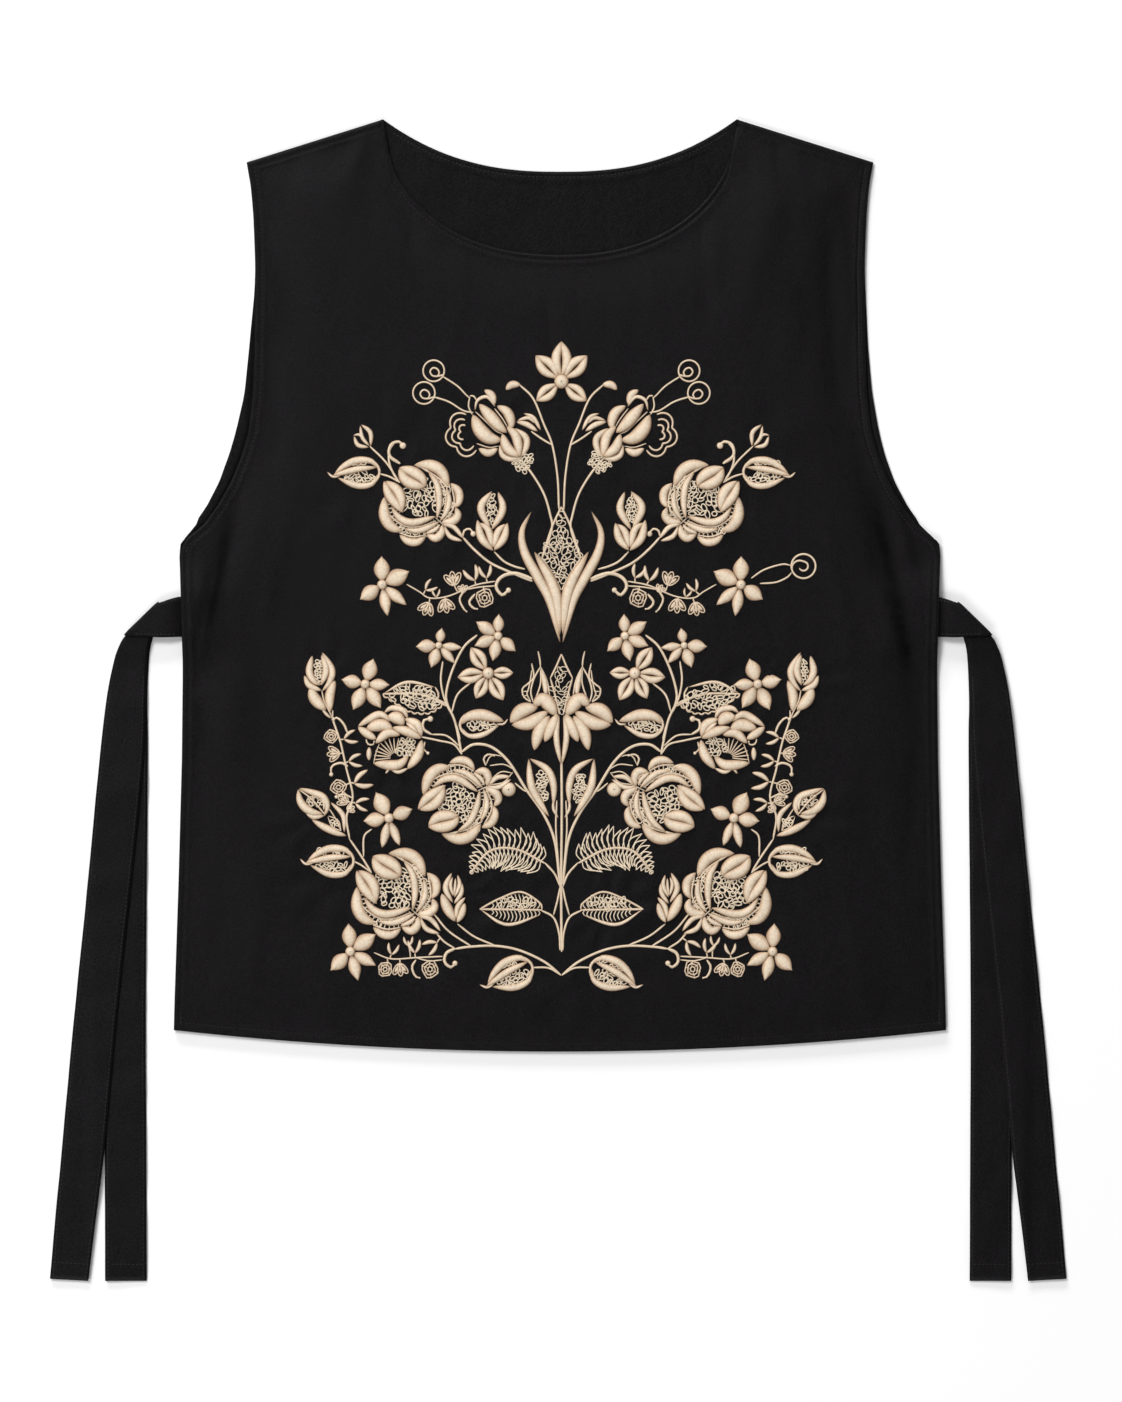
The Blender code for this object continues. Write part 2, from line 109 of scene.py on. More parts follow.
picture = {
    "cameraUp": 2.4,
    "frameTall": 0.9253,
    "centre": (0.0007, -0.0005),
    "floor": "#fdfdfd",
    "floorHalf": 6.0,
    "world": 0.265,
    "key": (176.0, (2.2, 1.6), (-2.5, 2.8, 3.9)),
    "rake": (440.0, (4.0, 1.4), (-1.6, 7.1, 2.0)),
    "fill": (74.0, (2.6, 2.0), (-1.5, -3.2, 3.0)),
}

# The side's edge from the hem up to the shoulder: (out, up)
sideEdge = np.array([
    (254.6, -217.5), (254.1, -197.8), (251.5, -120), (249.3, -39.4), (248.6, 27.3), (249.7, 70.2),
    (250.9, 96), (249.8, 104), (243, 109.5), (235.4, 115.4), (226.1, 128), (216.9, 144.1), (210.1, 160.9),
    (205.1, 177.7), (202.3, 204.8), (201.4, 232.1), (200.8, 285), (202.2, 320.3), (203.9, 339.4),
    (206.6, 354.6),
])

# How far the back shows past the front at the armholes: (up, left, right)
backShows = np.array([
    (104, 0, 0), (119.7, 6.5, 3), (156.6, 8.5, 4.4), (178.4, 8.5, 5.2), (198.2, 6, 3.8), (235, 3.5, 1.8),
    (270.1, 0.5, 0.6), (300, 0, 0),
])

# (start x, start y, end x, end y, half width, rise or fall)
largeFolds = [
    (-219.8, 124.3, -238.3, 27.9, 7, -1.5), (-205, 96, -222, -30, 11, 0.9),
    (203.9, 159.3, 213.2, 79.4, 7, -1.5), (213.2, 79.4, 240.9, -7.7, 7, -1.3),
    (220.4, 135.5, 229.7, 101.8, 5, 0.9), (-196, 250, -188, 160, 9, -0.9), (176, 300, 184, 205, 10, -0.8),
    (-150, 330, -120, 262, 12, 0.7), (140, 325, 118, 250, 11, 0.8), (-214, -90, -226, -190, 11, -0.9),
    (206, -60, 219, -205, 12, -1), (-205, 60, -190, -40, 12, -0.7),
]

# Finer creases of the cloth, in the same columns
smallCreases = [
    (-218, 132, -236, 44, 4.2, -1.9), (204.5, 156, 213.5, 88, 4.2, -1.7), (213.5, 88, 236, 12, 4.4, -1.9),
    (-196, 248, -189, 168, 5, -0.7), (178, 296, 184, 212, 5, -0.7), (-232, 140, -214, 92, 2.6, -0.5),
    (-240, 88, -226, 40, 3.2, 0.4), (-246, 66, -214, 72, 3, 0.45), (-246, 40, -210, 22, 3.4, -0.45),
    (246, 66, 210, 78, 3, 0.45), (246, 42, 214, 18, 3.4, -0.45), (228, 144, 214, 104, 2.6, -0.5),
    (-100, 322, -92, 274, 5, -0.5), (-8, 262, -6, 226, 4, -0.5), (12, 268, 16, 232, 3.6, -0.4),
    (-64, 290, -70, 236, 5, 0.45), (58, 286, 66, 232, 5.5, 0.45), (92, 318, 98, 246, 5, -0.5),
    (-180, 120, -196, 52, 6, 0.6), (176, 110, 190, 30, 6.5, 0.6), (-236, -30, -232, -92, 4.5, -0.6),
    (234, -40, 230, -120, 4.5, -0.6), (-196, -120, -204, -186, 5, 0.5), (188, -130, 200, -200, 5, 0.5),
    (-60, -198, -56, -214, 3.4, 0.4), (-44, -196, -42, -210, 3, -0.35), (-98, -196, -104, -214, 3.6, -0.4),
    (-120, -188, -126, -206, 4, 0.35), (34, -194, 36, -210, 3.2, -0.35), (54, -192, 58, -212, 3.4, 0.4),
    (88, -190, 92, -208, 3.6, -0.4), (112, -190, 116, -210, 3.6, 0.35), (-186, 312, -176, 352, 4, -0.45),
    (-150, 350, -146, 366, 3.4, -0.4), (-136, 350, -130, 372, 3.2, 0.4), (-168, 344, -164, 360, 3.2, 0.4),
    (146, 348, 142, 368, 3.4, -0.4), (160, 342, 156, 364, 3.2, 0.4), (190, 318, 182, 356, 4, -0.35),
]

# Painted shade along the deep folds that run down from the armholes: (half width, depth of shade, points)
paintedCreaseShade = [
    (4.6, 0.8, -215, 142, -216.6, 130.7, -220.4, 107.6, -224.4, 84.5, -228.2, 62.9, -233.6, 35.2, -241,
     14),
    (5.2, 0.8, 201, 158, 203.3, 145.4, 209.5, 118, 216.5, 91, 223, 58.7, 229, 28.4, 238, -6),
    (2.6, 0.35, 222, 142, 227, 116, 236, 84, 240, 70),
    (3.6, 0.3, -243, 6, -238, -14, -240, -40),
    (5, 0.22, -8, 236, -4, 222, -6, 205),
    (6, 0.2, -192, 300, -186, 262, -188, 226),
    (6, 0.2, 150, 292, 158, 252, 156, 214),
]

# Edges of each tie from its root to its free end: (part, first out and up, second out and up)
upperTie = [
    ("across", 238, 68.2, 238, 41.8), ("across", 249.5, 68.4, 250, 41.8),
    ("across", 256.5, 66.8, 262, 41.4), ("across", 261, 65.2, 275, 42), ("fold", 264, 64.2, 286.4, 42.4),
    ("down", 264.8, 58, 288.6, 39.6), ("down", 268, 46, 291, 34.6), ("down", 271.3, 35.8, 293.6, 27.6),
    ("down", 272.6, 22, 297.4, 10.6), ("down", 273.2, 0, 299.8, -6), ("down", 274.6, -39.4, 303.6, -39.4),
    ("down", 282.4, -118, 311.2, -118), ("down", 291.1, -197.8, 319.4, -197.8),
    ("down", 296, -250, 324.4, -250), ("down", 301, -302.7, 329.2, -302.7),
    ("down", 306.4, -345, 333.2, -344.4), ("down", 311, -383, 336.4, -381.6),
]
lowerTie = [
    ("across", 238, 67.8, 238, 42.2), ("across", 249.5, 67.6, 250, 42.2), ("across", 258, 64.6, 268, 42.2),
    ("fold", 262, 62.2, 283.4, 42), ("down", 263.2, 56, 285.6, 39), ("down", 267.6, 44, 288.6, 32.6),
    ("down", 270.4, 34, 291.4, 25.4), ("down", 271.6, 20, 295.4, 8), ("down", 272.2, -4, 298.2, -8),
    ("down", 271.9, -39.4, 299.6, -39.4), ("down", 273.2, -197.8, 301, -197.8),
    ("down", 272.9, -302.7, 300.3, -302.7), ("down", 272.6, -383, 300, -383),
]

# Padded petals and cords of each motif: (width, layer, points along the middle), as shares
# of its half size from its centre, seen on the picture's left. For leafPetals and
# inwardPetals they are shares of the leaf's length from its base
rosePetals = [
    (0.29, 0, -0.14, 0.88, 0.24, 0.88, 0.5, 0.72, 0.66, 0.38),
    (0.21, 0, 0.7, 0.46, 0.88, 0.28, 0.9, 0.05, 0.8, -0.11),
    (0.22, 0, 0.82, -0.1, 0.87, -0.28, 0.74, -0.42, 0.48, -0.45),
    (0.21, 0, 0.51, -0.5, 0.49, -0.69, 0.35, -0.81, 0.14, -0.72),
    (0.11, 1, 0.46, -0.49, 0.35, -0.61, 0.12, -0.71),
    (0.2, 0, -0.48, -0.74, -0.29, -0.88, -0.07, -0.9, 0.13, -0.77),
    (0.29, 0, -0.83, 0.15, -0.83, -0.26, -0.69, -0.53, -0.42, -0.66),
    (0.19, 2, -0.68, -0.08, -0.47, -0.35, -0.16, -0.45, 0.36, -0.31),
    (0.15, 1, -0.37, -0.6, -0.08, -0.64, 0.17, -0.57, 0.44, -0.43),
    (0.17, 2, 0.19, 0.73, 0.39, 0.42, 0.44, 0.02, 0.39, -0.37),
    (0.14, 1, 0.63, 0.34, 0.67, 0.06, 0.61, -0.19, 0.46, -0.42),
    (0.27, 3, -0.49, 0.82, -0.18, 0.73, 0.04, 0.57, 0.12, 0.38),
    (0.27, 3, -0.49, 0.8, -0.36, 0.56, -0.17, 0.44, 0.11, 0.37),
    (0.23, 3, -0.84, 0.51, -0.74, 0.22, -0.6, 0.02, -0.4, -0.22),
    (0.25, 3, -0.8, 0.51, -0.56, 0.33, -0.45, 0.13, -0.41, -0.18),
    (0.12, 1, 0.52, -0.49, 0.78, -0.56, 1, -0.82),
    (0.12, 1, 0.56, -0.54, 0.69, -0.77, 0.97, -0.88),
]
roseCords = [
    (0.05, 0, 0, 0.84, 0.42, 0.58, 0.63, 0.34),
    (0.045, 0, 0.12, 0.8, 0.5, 0.42, 0.6, 0.12, 0.54, -0.2),
    (0.05, 0, 0.73, 0.38, 0.79, 0.06, 0.74, -0.17, 0.52, -0.43),
    (0.05, 0, -0.85, 0.06, -0.75, -0.23, -0.42, -0.53),
    (0.05, 0, -0.48, -0.69, -0.18, -0.78, 0.12, -0.74),
    (0.05, 0, -0.62, -0.27, -0.38, -0.52, 0, -0.54, 0.36, -0.41),
]
peonyPetals = [
    (0.26, 0, -0.34, 1.02, -0.12, 0.86, -0.02, 0.56),
    (0.12, 1, -0.64, 0.38, -0.55, 0.7, -0.25, 0.8, 0, 0.5),
    (0.4, 2, -0.5, 0.58, -0.2, 0.24, 0.06, -0.06, 0.36, -0.32),
    (0.47, 1, -0.7, 0.24, -0.5, -0.2, -0.2, -0.48, 0.2, -0.56),
    (0.33, 1, 0.06, 0.52, 0.37, 0.33, 0.5, 0.02, 0.46, -0.24),
    (0.32, 2, 0.36, -0.12, 0.66, -0.46, 0.78, -1.08),
    (0.34, 2, 0.22, -0.36, 0.38, -0.8, 0.76, -1.08),
    (0.23, 0, 0.6, -0.18, 0.95, -0.46, 0.97, -0.77, 0.8, -1.1),
    (0.2, 0, 0.14, -0.7, 0.22, -1.01, 0.46, -1.14, 0.78, -1.12),
    (0.26, 0, -0.52, -0.82, -0.22, -0.95, 0.08, -0.82),
]
peonyCords = [
    (0.05, 0, -0.02, 0.44, 0.24, 0.1, 0.4, -0.18),
    (0.05, 0, -0.62, 0.34, -0.3, 0.04, 0.02, -0.26, 0.24, -0.36),
    (0.05, 0, -0.58, -0.66, -0.2, -0.78, 0.1, -0.74),
]
halfPeonyPetals = [
    (0.28, 0, 0.93, 0.12, 0.8, 0.48, 0.42, 0.66),
    (0.16, 1, 0.84, 0.17, 0.64, 0.4, 0.46, 0.54),
    (0.2, 0, 0.52, 0.66, 0.36, 0.92, 0.02, 0.98, -0.2, 0.84),
    (0.4, 1, 0.4, 0.48, 0.2, 0.68, -0.1, 0.72),
    (0.25, 0, 0.02, 0.58, -0.32, 0.79, -0.68, 0.63, -0.99, 0.42),
    (0.4, 1, 0.06, 0.32, -0.28, 0.47, -0.74, 0.36),
    (0.27, 1, -0.99, 0.4, -0.7, 0.2, -0.44, 0.04),
    (0.3, 3, 0.92, 0.07, 0.48, 0.28, 0.05, 0.39),
    (0.29, 3, 0.28, 0.17, -0.1, 0.22, -0.46, -0.08),
    (0.32, 1, 0.94, 0.02, 0.83, -0.42, 0.51, -0.86),
    (0.33, 2, 0.54, -0.48, 0.18, -0.74, -0.52, -0.69),
    (0.13, 1, 0.52, -0.84, 0.24, -0.95, 0, -0.88),
    (0.08, 1, -0.03, -0.84, -0.1, -0.92, -0.16, -1),
    (0.17, 0, -0.65, -0.2, -0.66, -0.42, -0.66, -0.6),
]
halfPeonyCords = [
    (0.05, 0, -0.35, -0.1, -0.46, -0.42, -0.52, -0.7),
]
budPetals = [
    (0.28, 1, 0.02, 0.99, -0.34, 0.45, -0.04, -0.26), (0.27, 1, 0.23, 0.97, 0.38, 0.39, 0.02, -0.28),
    (0.28, 3, 0.54, -0.06, 0.41, -0.58, 0.09, -0.97), (0.25, 2, 0.47, -0.1, 0.22, -0.36, 0.08, -0.88),
    (0.29, 3, -0.46, 0.04, -0.32, -0.56, 0.06, -0.98), (0.26, 2, -0.4, -0.06, -0.1, -0.3, 0.04, -0.88),
]
closedBudPetals = [
    (0.24, 1, -0.08, 0.94, -0.31, 0.36, -0.04, -0.2), (0.2, 1, 0.32, 0.54, 0.28, 0.15, 0.02, -0.24),
    (0.18, 2, 0.15, 0.86, 0.22, 0.46, 0.02, 0), (0.15, 2, -0.04, 0.78, -0.12, 0.46, -0.02, 0.06),
    (0.12, 3, 0.07, 0.74, 0.05, 0.38, 0, 0.06), (0.41, 3, -0.46, 0.14, -0.26, -0.38, 0.06, -0.92),
    (0.22, 3, 0.44, 0, 0.16, -0.36, 0.08, -0.82), (0.29, 4, 0.43, -0.22, 0.31, -0.62, 0.13, -0.96),
]
sideBudPetals = [
    (0.22, 1, -0.03, 0.97, 0.26, 0.45, 0.19, 0.08, -0.03, -0.2),
    (0.23, 2, -0.05, 0.9, 0.09, 0.45, -0.06, -0.02),
    (0.24, 1, -0.33, 0.87, -0.42, 0.42, -0.3, 0.12, -0.1, -0.02),
    (0.2, 3, -0.57, 0.27, -0.42, -0.02, -0.06, -0.18),
    (0.37, 2, -0.38, -0.04, -0.26, -0.42, 0.08, -0.78),
    (0.31, 2, 0.36, 0.12, 0.2, -0.32, 0.21, -0.82),
    (0.1, 1, -0.06, -0.7, 0.1, -0.9, 0.24, -1.02),
]
sideBudCords = [
    (0.055, 2, -0.04, -0.18, 0.03, -0.5, 0.2, -0.84, 0.26, -1.02),
]
leafPetals = [
    (0.15, 0, 0.02, 0.08, 0.15, 0.23, 0.43, 0.245, 0.67, 0.14, 0.86, -0.02),
    (0.13, 2, 0.05, 0.11, 0.44, 0.07, 0.9, -0.05),
    (0.13, 0, 0.02, -0.02, 0.14, -0.21, 0.44, -0.24, 0.8, -0.09),
    (0.05, 1, 0.74, -0.05, 0.89, -0.07, 1, 0.02),
]
inwardPetals = [
    (0.25, 1, 0.02, 0.06, 0.18, 0.19, 0.46, 0.19, 0.72, 0.08, 0.9, -0.02),
    (0.12, 0, 0.02, -0.02, 0.14, -0.2, 0.44, -0.22, 0.8, -0.08),
    (0.05, 1, 0.74, -0.05, 0.89, -0.07, 1, 0.02),
]
pairPetals = [
    (0.2, 1, -0.7, 0.71, -0.4, 0.62, -0.05, 0.48, 0.07, 0.22, -0.02, -0.05),
    (0.24, 2, -0.73, 0.68, -0.66, 0.34, -0.42, 0.1, -0.06, 0.01),
    (0.15, 1, -0.54, 0.08, -0.32, -0.06, -0.02, -0.03),
    (0.09, 2, -0.03, 0.12, -0.02, 0.3, -0.1, 0.46),
    (0.15, 0, 0.16, 0.33, 0.49, -0.02, 0.53, -0.48),
    (0.21, 0, -0.36, -0.13, -0.06, -0.32, 0.3, -0.49, 0.58, -0.58),
]
pairCords = [
    (0.055, 3, 0, 0, -0.36, 0.42, -0.7, 0.68), (0.045, 0, 0.11, 0.17, 0.28, -0.1, 0.43, -0.43),
    (0.045, 0, 0.44, -0.44, 0.36, -0.16, 0.1, -0.04), (0.045, 0, 0.44, -0.44, 0.2, -0.34, 0.08, -0.06),
]
uprightPetals = [
    (0.29, 1, -0.51, 0.97, -0.42, 0.08, -0.12, -0.52, 0.18, -0.98),
    (0.27, 0, -0.47, 0.98, 0.12, 0.62, 0.34, 0.08, 0.34, -0.62),
    (0.11, 0, 0.34, -0.4, 0.34, -0.74, 0.5, -1.04),
]

# The same for the iris, in chart units
irisPetals = [
    (14.8, 1, 51, -22.4, 39.6, -10.6, 23.6, -6.8), (14.2, 1, 49.4, -24.6, 31.4, -22.6, 13.4, -11.2),
    (15, 2, 28, -5.4, 17.4, 0.6, 4.8, -15), (12.8, 2, 27, -49.8, 22.4, -31.7, 12, -15.6),
    (11.6, 3, 16.6, -41.4, 9.8, -26, 3.8, -13.6), (6.4, 3, 2.4, -15, 5, -37, 0.9, -63),
    (6.4, 0, 20.3, 31, 16.6, 18, 15.2, 3),
]

# Outlines of the iris's and the tulip heart's halves: (width, points)
irisLines = [(2.2, 0, 46, 5, 34, 11, 22), (2.2, 11, 22, 6.6, 6, 2, -14)]
heartLines = [(2.4, 0, 193, 9.6, 172, 19.4, 142), (2.2, 19.4, 142, 9, 126, 0.4, 110)]

# Long leaves of the tulip: (width, layer, rows of the mesh, points)
tulipLeaves = [
    (10.4, 1, 30, 30.2, 188, 39.4, 168.2, 36.5, 147.1, 23.4, 122.4, 11.4, 98.7, 1.4, 58),
    (11.6, 2, 26, 27, 148, 19.8, 135.6, 10.8, 119.6, 4.6, 99.9, 1.4, 66),
]

# Arcs of lobes round the peony's centre: (radius, depth, first and last degree, lobes)
peonyLobeCentre = (92.5, 266.5)
peonyLobes = [
    (21, 2.4, 82, -114, 3), (15.4, 1.9, 74, -112, 3), (9.6, 1.4, 66, -50, 2),
]

# Tips of the petals of each star blossom: (degrees on the picture's left, reach)
blossomTips = {
    "blossom_brow": [(91, 27.8), (26, 29.7), (-40, 30.8), (-80, 31), (214, 26)],
    "blossom_a": [(80, 17), (-6, 22.4), (-48, 23.2), (-109, 22.9), (183, 22.4)],
    "blossom_b": [(88, 21.3), (-41, 22.6), (-102, 25), (203, 24.9), (147, 25.5)],
    "blossom_c": [(124, 31), (1, 25), (-61, 31), (-116, 28.3), (188, 31)],
    "blossom_d": [(72, 26.1), (-2, 23.6), (-57, 28), (-115, 27.9), (169, 23.6)],
    "blossom_e": [(117, 28.3), (21, 24.4), (-69, 28.6), (-103, 29.6), (187, 25.2)],
    "blossom_f": [(94, 27.3), (34, 30), (-29, 28.3), (-75, 29.5), (224, 26.8)],
    "crown_blossom": [(90, 40), (135, 36.5), (45, 36.5), (218, 31.8), (-38, 31.8)],
}

# (solid, kind, out, up, half size, turn in degrees). The kinds leaf and leafInward have
# the place of the leaf's base, and its length
halfFlowers = [
    ("peony", "peony", 66, 277, 31.8, 0),
    ("rose_chest", "rose", 140.8, 196.6, 43, 0),
    ("rose_waist", "roseFlipped", 102, -99.2, 42.8, -18),
    ("rose_hem", "rose", 166, -193, 45.4, 0),
    ("half_peony", "halfPeony", 170.2, -40.2, 33, 0),
    ("bud_chest", "bud", 70, 178.6, 30, 0),
    ("bud_side", "sideBud", 237.6, 15.6, 33, 0),
    ("bud_hem", "closedBud", 107.4, -196.6, 26, 0),
    ("leaf_chest", "leaf", 182, 226.6, 51.6, 0),
    ("leaf_lower", "leaf", 207.8, -162, 53, 3),
    ("leaf_hem", "leaf", 29.4, -266, 55, -20),
    ("leaf_middle", "leafInward", 100.5, -27, 48, 9),
    ("leaf_pair", "leafPair", 235.9, -114, 36.6, 0),
    ("leaf_upright", "upright", 17.8, -87, 29.2, 0),
    ("leaf_mesh", "meshLeaf", 146, 2, 33, 0),
    ("leaf_net", "netLeaf", 46.5, -208.3, 31, 0),
    ("leaf_fern", "fern", 53.6, -152.6, 37, 0),
]

# (solid, out, up, radius of the heart)
blossomSpots = [
    ("blossom_brow", 178.9, 115.3, 5.2), ("blossom_a", 122.3, 54.7, 3.8), ("blossom_b", 63.2, 64.1, 4.6),
    ("blossom_c", 73, 27, 5.4), ("blossom_d", 195.7, 16.1, 5), ("blossom_e", 172, -117.5, 5.2),
    ("blossom_f", 210.5, -250.5, 5.2),
]

# Stems: (width, taper at the far end, points)
stems = [
    (2.2, 0.9, 118.4, 323, 103.9, 313.5, 95, 304.5, 91, 301),
    (2.2, 0.9, 91.4, 302.6, 92.6, 293, 89, 285),
    (2.2, 0.9, 91.4, 303.6, 87.6, 303.4, 84.6, 299),
    (2.3, 0.9, 128.1, 302.9, 112.3, 297.7, 98, 289, 88, 287),
    (2.6, 1, 41.7, 314.6, 28.1, 300.8, 17.6, 275.6, 9.1, 254.5, 3.9, 222.9, 2.4, 190),
    (2.4, 1, 30.2, 268.2, 19.7, 260.8, 9.1, 254.5),
    (2.8, 1, 43.5, 243, 30.2, 227.1, 17.6, 206.1, 11.2, 185, 9.6, 170.3, 19.2, 141.9),
    (2.4, 1, 191.2, 253.4, 175.4, 237.7, 161.8, 217.7),
    (2.6, 1, 164.9, 258.7, 171.2, 250.3, 171.9, 237.7, 167, 225, 161.1, 217),
    (2.4, 1, 181.8, 226.1, 171.2, 222.9, 161.1, 217),
    (3, 1, 98.6, 162.9, 87, 150.3, 70.2, 136.6, 47, 126.1, 29.1, 118.7),
    (2.6, 1, 67, 148.2, 57.6, 138.7, 47, 133.5, 36.5, 130.7),
    (2, 0.9, 66, 118.7, 87, 114.5, 112.3, 104, 131.2, 101.9, 141.8, 108.3, 154.4, 115.6),
    (2, 0.9, 66, 114, 82, 112.8, 98, 109.8),
    (3, 1, 84, 65, 97.4, 52.9, 108.6, 30.5, 114.8, 8.2, 113.6, -4.3, 106.1, -21.7, 99.4, -54),
    (2.5, 1, 118.3, 38.8, 120.3, 20.6, 117.3, 3.2, 111.1, -11.7),
    (2.5, 1, 89.9, 18.1, 103.6, 5.7, 109.3, -11.7),
    (2.4, 1, 113.6, -4.3, 127.2, 1.9, 140, 4.6),
    (2.4, 1, 101.1, -39.1, 103.6, -29, 104, -26),
    (2.4, 1, 139.7, -36.6, 122.3, -40.3, 107.3, -44.1, 99.4, -54),
    (2.2, 1, 129.7, -34.1, 114.8, -35.4, 102.4, -45.3),
    (3.4, 1, 99.4, -51.5, 87.4, -44.1, 70, -46.6, 52.6, -61.5, 35.2, -88.9, 17.8, -113.7, 6.6, -141.1,
     1.4, -183.4),
    (1.8, 0.8, 75, -64, 71.5, -56.5, 66, -54.6, 60.1, -56),
    (1.8, 0.8, 71.3, -65.2, 57.6, -64, 47.6, -69),
    (1.8, 0.8, 70, -78.9, 60.1, -71.4, 48.9, -72.7),
    (1.8, 0.8, 73, -84.5, 58, -82, 48.5, -72),
    (2.2, 1, 46.4, -82.6, 40, -88, 35.2, -91.3),
    (2.6, 1, 16.5, -162.2, 6.6, -173.4, 1.4, -186),
    (2.6, 1, 20.3, -209.5, 7.8, -217, 2.2, -233.1, 1.4, -249.3),
    (2.4, 1, 7.8, -214.2, 4, -200, 1.2, -186),
    (2.3, 1, 29, -266.7, 12.8, -267.2, 0.6, -274.2),
    (3, 1, 0.4, -274.4, 17.8, -260.5, 42.7, -249.3, 66.3, -245.1, 92.4, -246.1, 106.1, -248.1),
    (2.4, 1, 66.3, -244.8, 87.4, -235.6, 103.6, -223.2),
    (2.4, 1, 89.9, -245.6, 112.3, -230.6, 127.2, -213.2),
    (2.4, 1, 106.1, -247.8, 117.3, -240.6, 126, -230.6),
    (2.6, 1, 228, -10, 228, -19.2, 220.5, -41.6, 214.3, -69, 208.1, -96.3, 214.3, -116.2, 211.3, -138.6),
    (2.6, 1, 211.3, -138.6, 199.4, -156, 189.4, -172.2),
    (2.2, 1, 208.8, -159.8, 199.4, -164.7, 189.4, -172.2),
    (2.4, 1, 189.4, -128.7, 196.9, -136.1, 197.4, -156),
    (2, 0.9, 118.5, -255.5, 144.7, -256.8, 169.5, -258, 186.9, -251.8),
    (1.8, 0.9, 118.5, -259, 132, -260, 145, -257),
    (2.2, 1, 23.3, 48.9, 21.4, 40, 20.9, 32.7),
    (2.2, 1, 20.9, 33.4, 27.3, 21.5, 30.5, 8.6, 28.1, -2),
    (2, 1, 20.9, 33.4, 14.6, 20, 11.6, 4),
    (2, 1, 20.9, 31, 20.6, 18, 24, 6, 27.6, -2),
    (2.2, 1, 29.7, 36.8, 27.6, 23.1, 33.8, 16, 38.8, 11.6, 37.6, 3.6, 30.5, -1.9),
    (1.8, 1, 29.7, 30, 30.6, 22, 32.8, 11, 34.4, 6, 30.6, -1),
    (1.4, 1, 33.4, 9, 38.2, 8.6),
    (1.4, 1, 34.2, 5, 37.6, 3.8),
    (1.4, 1, 31.6, 17.6, 34, 15.6),
    (2.2, 1, 4.6, -100, 5.4, -130, 1.8, -176),
]
middleStem = (0, -56, 0.4, -110, -0.2, -186, 0.2, -251)
stemDot = (52.6, -88.9, 7.4)

# Open curls: (width, size of the dot at the tip, points from the stem to the tip)
curls = [
    (4.2, 3.2, 29.1, 121, 47, 126.6, 60.2, 122.6, 65.2, 113.5, 59.2, 105, 52.8, 109.8),
    (3.6, 4, 161, 236, 171.6, 244, 170, 255, 162, 258, 158.2, 254),
    (2.6, 3.4, 98.6, 162.9, 96.6, 169.5, 91, 170.8, 88, 166),
    (3.2, 3.6, 129.7, -34.1, 137.6, -28.7, 137.2, -20.2, 130.8, -18.6),
    (3.6, 3.2, 106.1, -247.8, 114.8, -252.3, 116.4, -261.2, 110, -266.4, 106.2, -262.4),
    (2.8, 2.4, 213.3, -33, 217, -24, 223.5, -17.5, 227.5, -19),
    (2.8, 2.6, 213, -66, 220, -62.5, 229, -66, 229.6, -74),
    (2.4, 1.6, 75.5, -65.2, 77.5, -58, 73, -54, 67, -55),
    (2.2, 1.2, 194.8, -38.6, 193.4, -43.4, 188.2, -44.6, 186.8, -41.2),
    (2.6, 1.2, 96.6, 109.8, 101.5, 101, 98, 92, 94.6, 88.4),
    (3, 1.2, 86, 106, 92, 98, 88, 92, 84, 91),
    (2.8, 1.2, 145, -259, 149, -266, 146, -275, 141.5, -277),
    (2.2, 2.2, 207.6, -98, 217, -94, 224.5, -96.4),
    (2.2, 2, 136, -41.6, 137.4, -48.5, 133.2, -52.8),
]

# Ring curls: (centre out, centre up, radius), and the small loop inside each
ringCurls = [
    (127.4, 328.6, 10.6), (137.1, 306.5, 11),
]
ringLoop = (-0.92, -0.34, -0.45, -0.5, 0.1, -0.46, 0.34, -0.06, 0.06, 0.28, -0.34, 0.16, -0.52, -0.2,
            -0.34, -0.5)

# The tendril over the waist that only the right side has: its lines and its spiral
tendril = [
    (189.3, 121.6, 202.3, 130.2, 220.3, 135.6, 228.6, 134.4),
    (198, 116.4, 213.7, 117.6, 225.1, 122.5, 229.6, 127.4),
]
rightSpiral = (241.5, 133.7, 13, 205)

# Small lone pads: (width, points)
smallPads = [
    (8, 55.4, 309.6, 49.4, 314.8, 40.6, 314.6), (6, 44.9, 277.7, 34.4, 275.2, 23.9, 268.3),
    (4.6, 37.6, 286.1, 28.1, 281.9, 20.7, 269.4), (4, 44, 279, 33, 281.6, 26, 276),
    (5, 199.7, 275, 190.6, 267, 190.2, 253.4), (4.2, 200.7, 274, 198.6, 262, 191.4, 253.4),
    (4.6, 207, 263.6, 203, 254.6, 192.4, 252.4), (3.4, 207.6, 264.2, 201, 264.6, 194, 256),
]

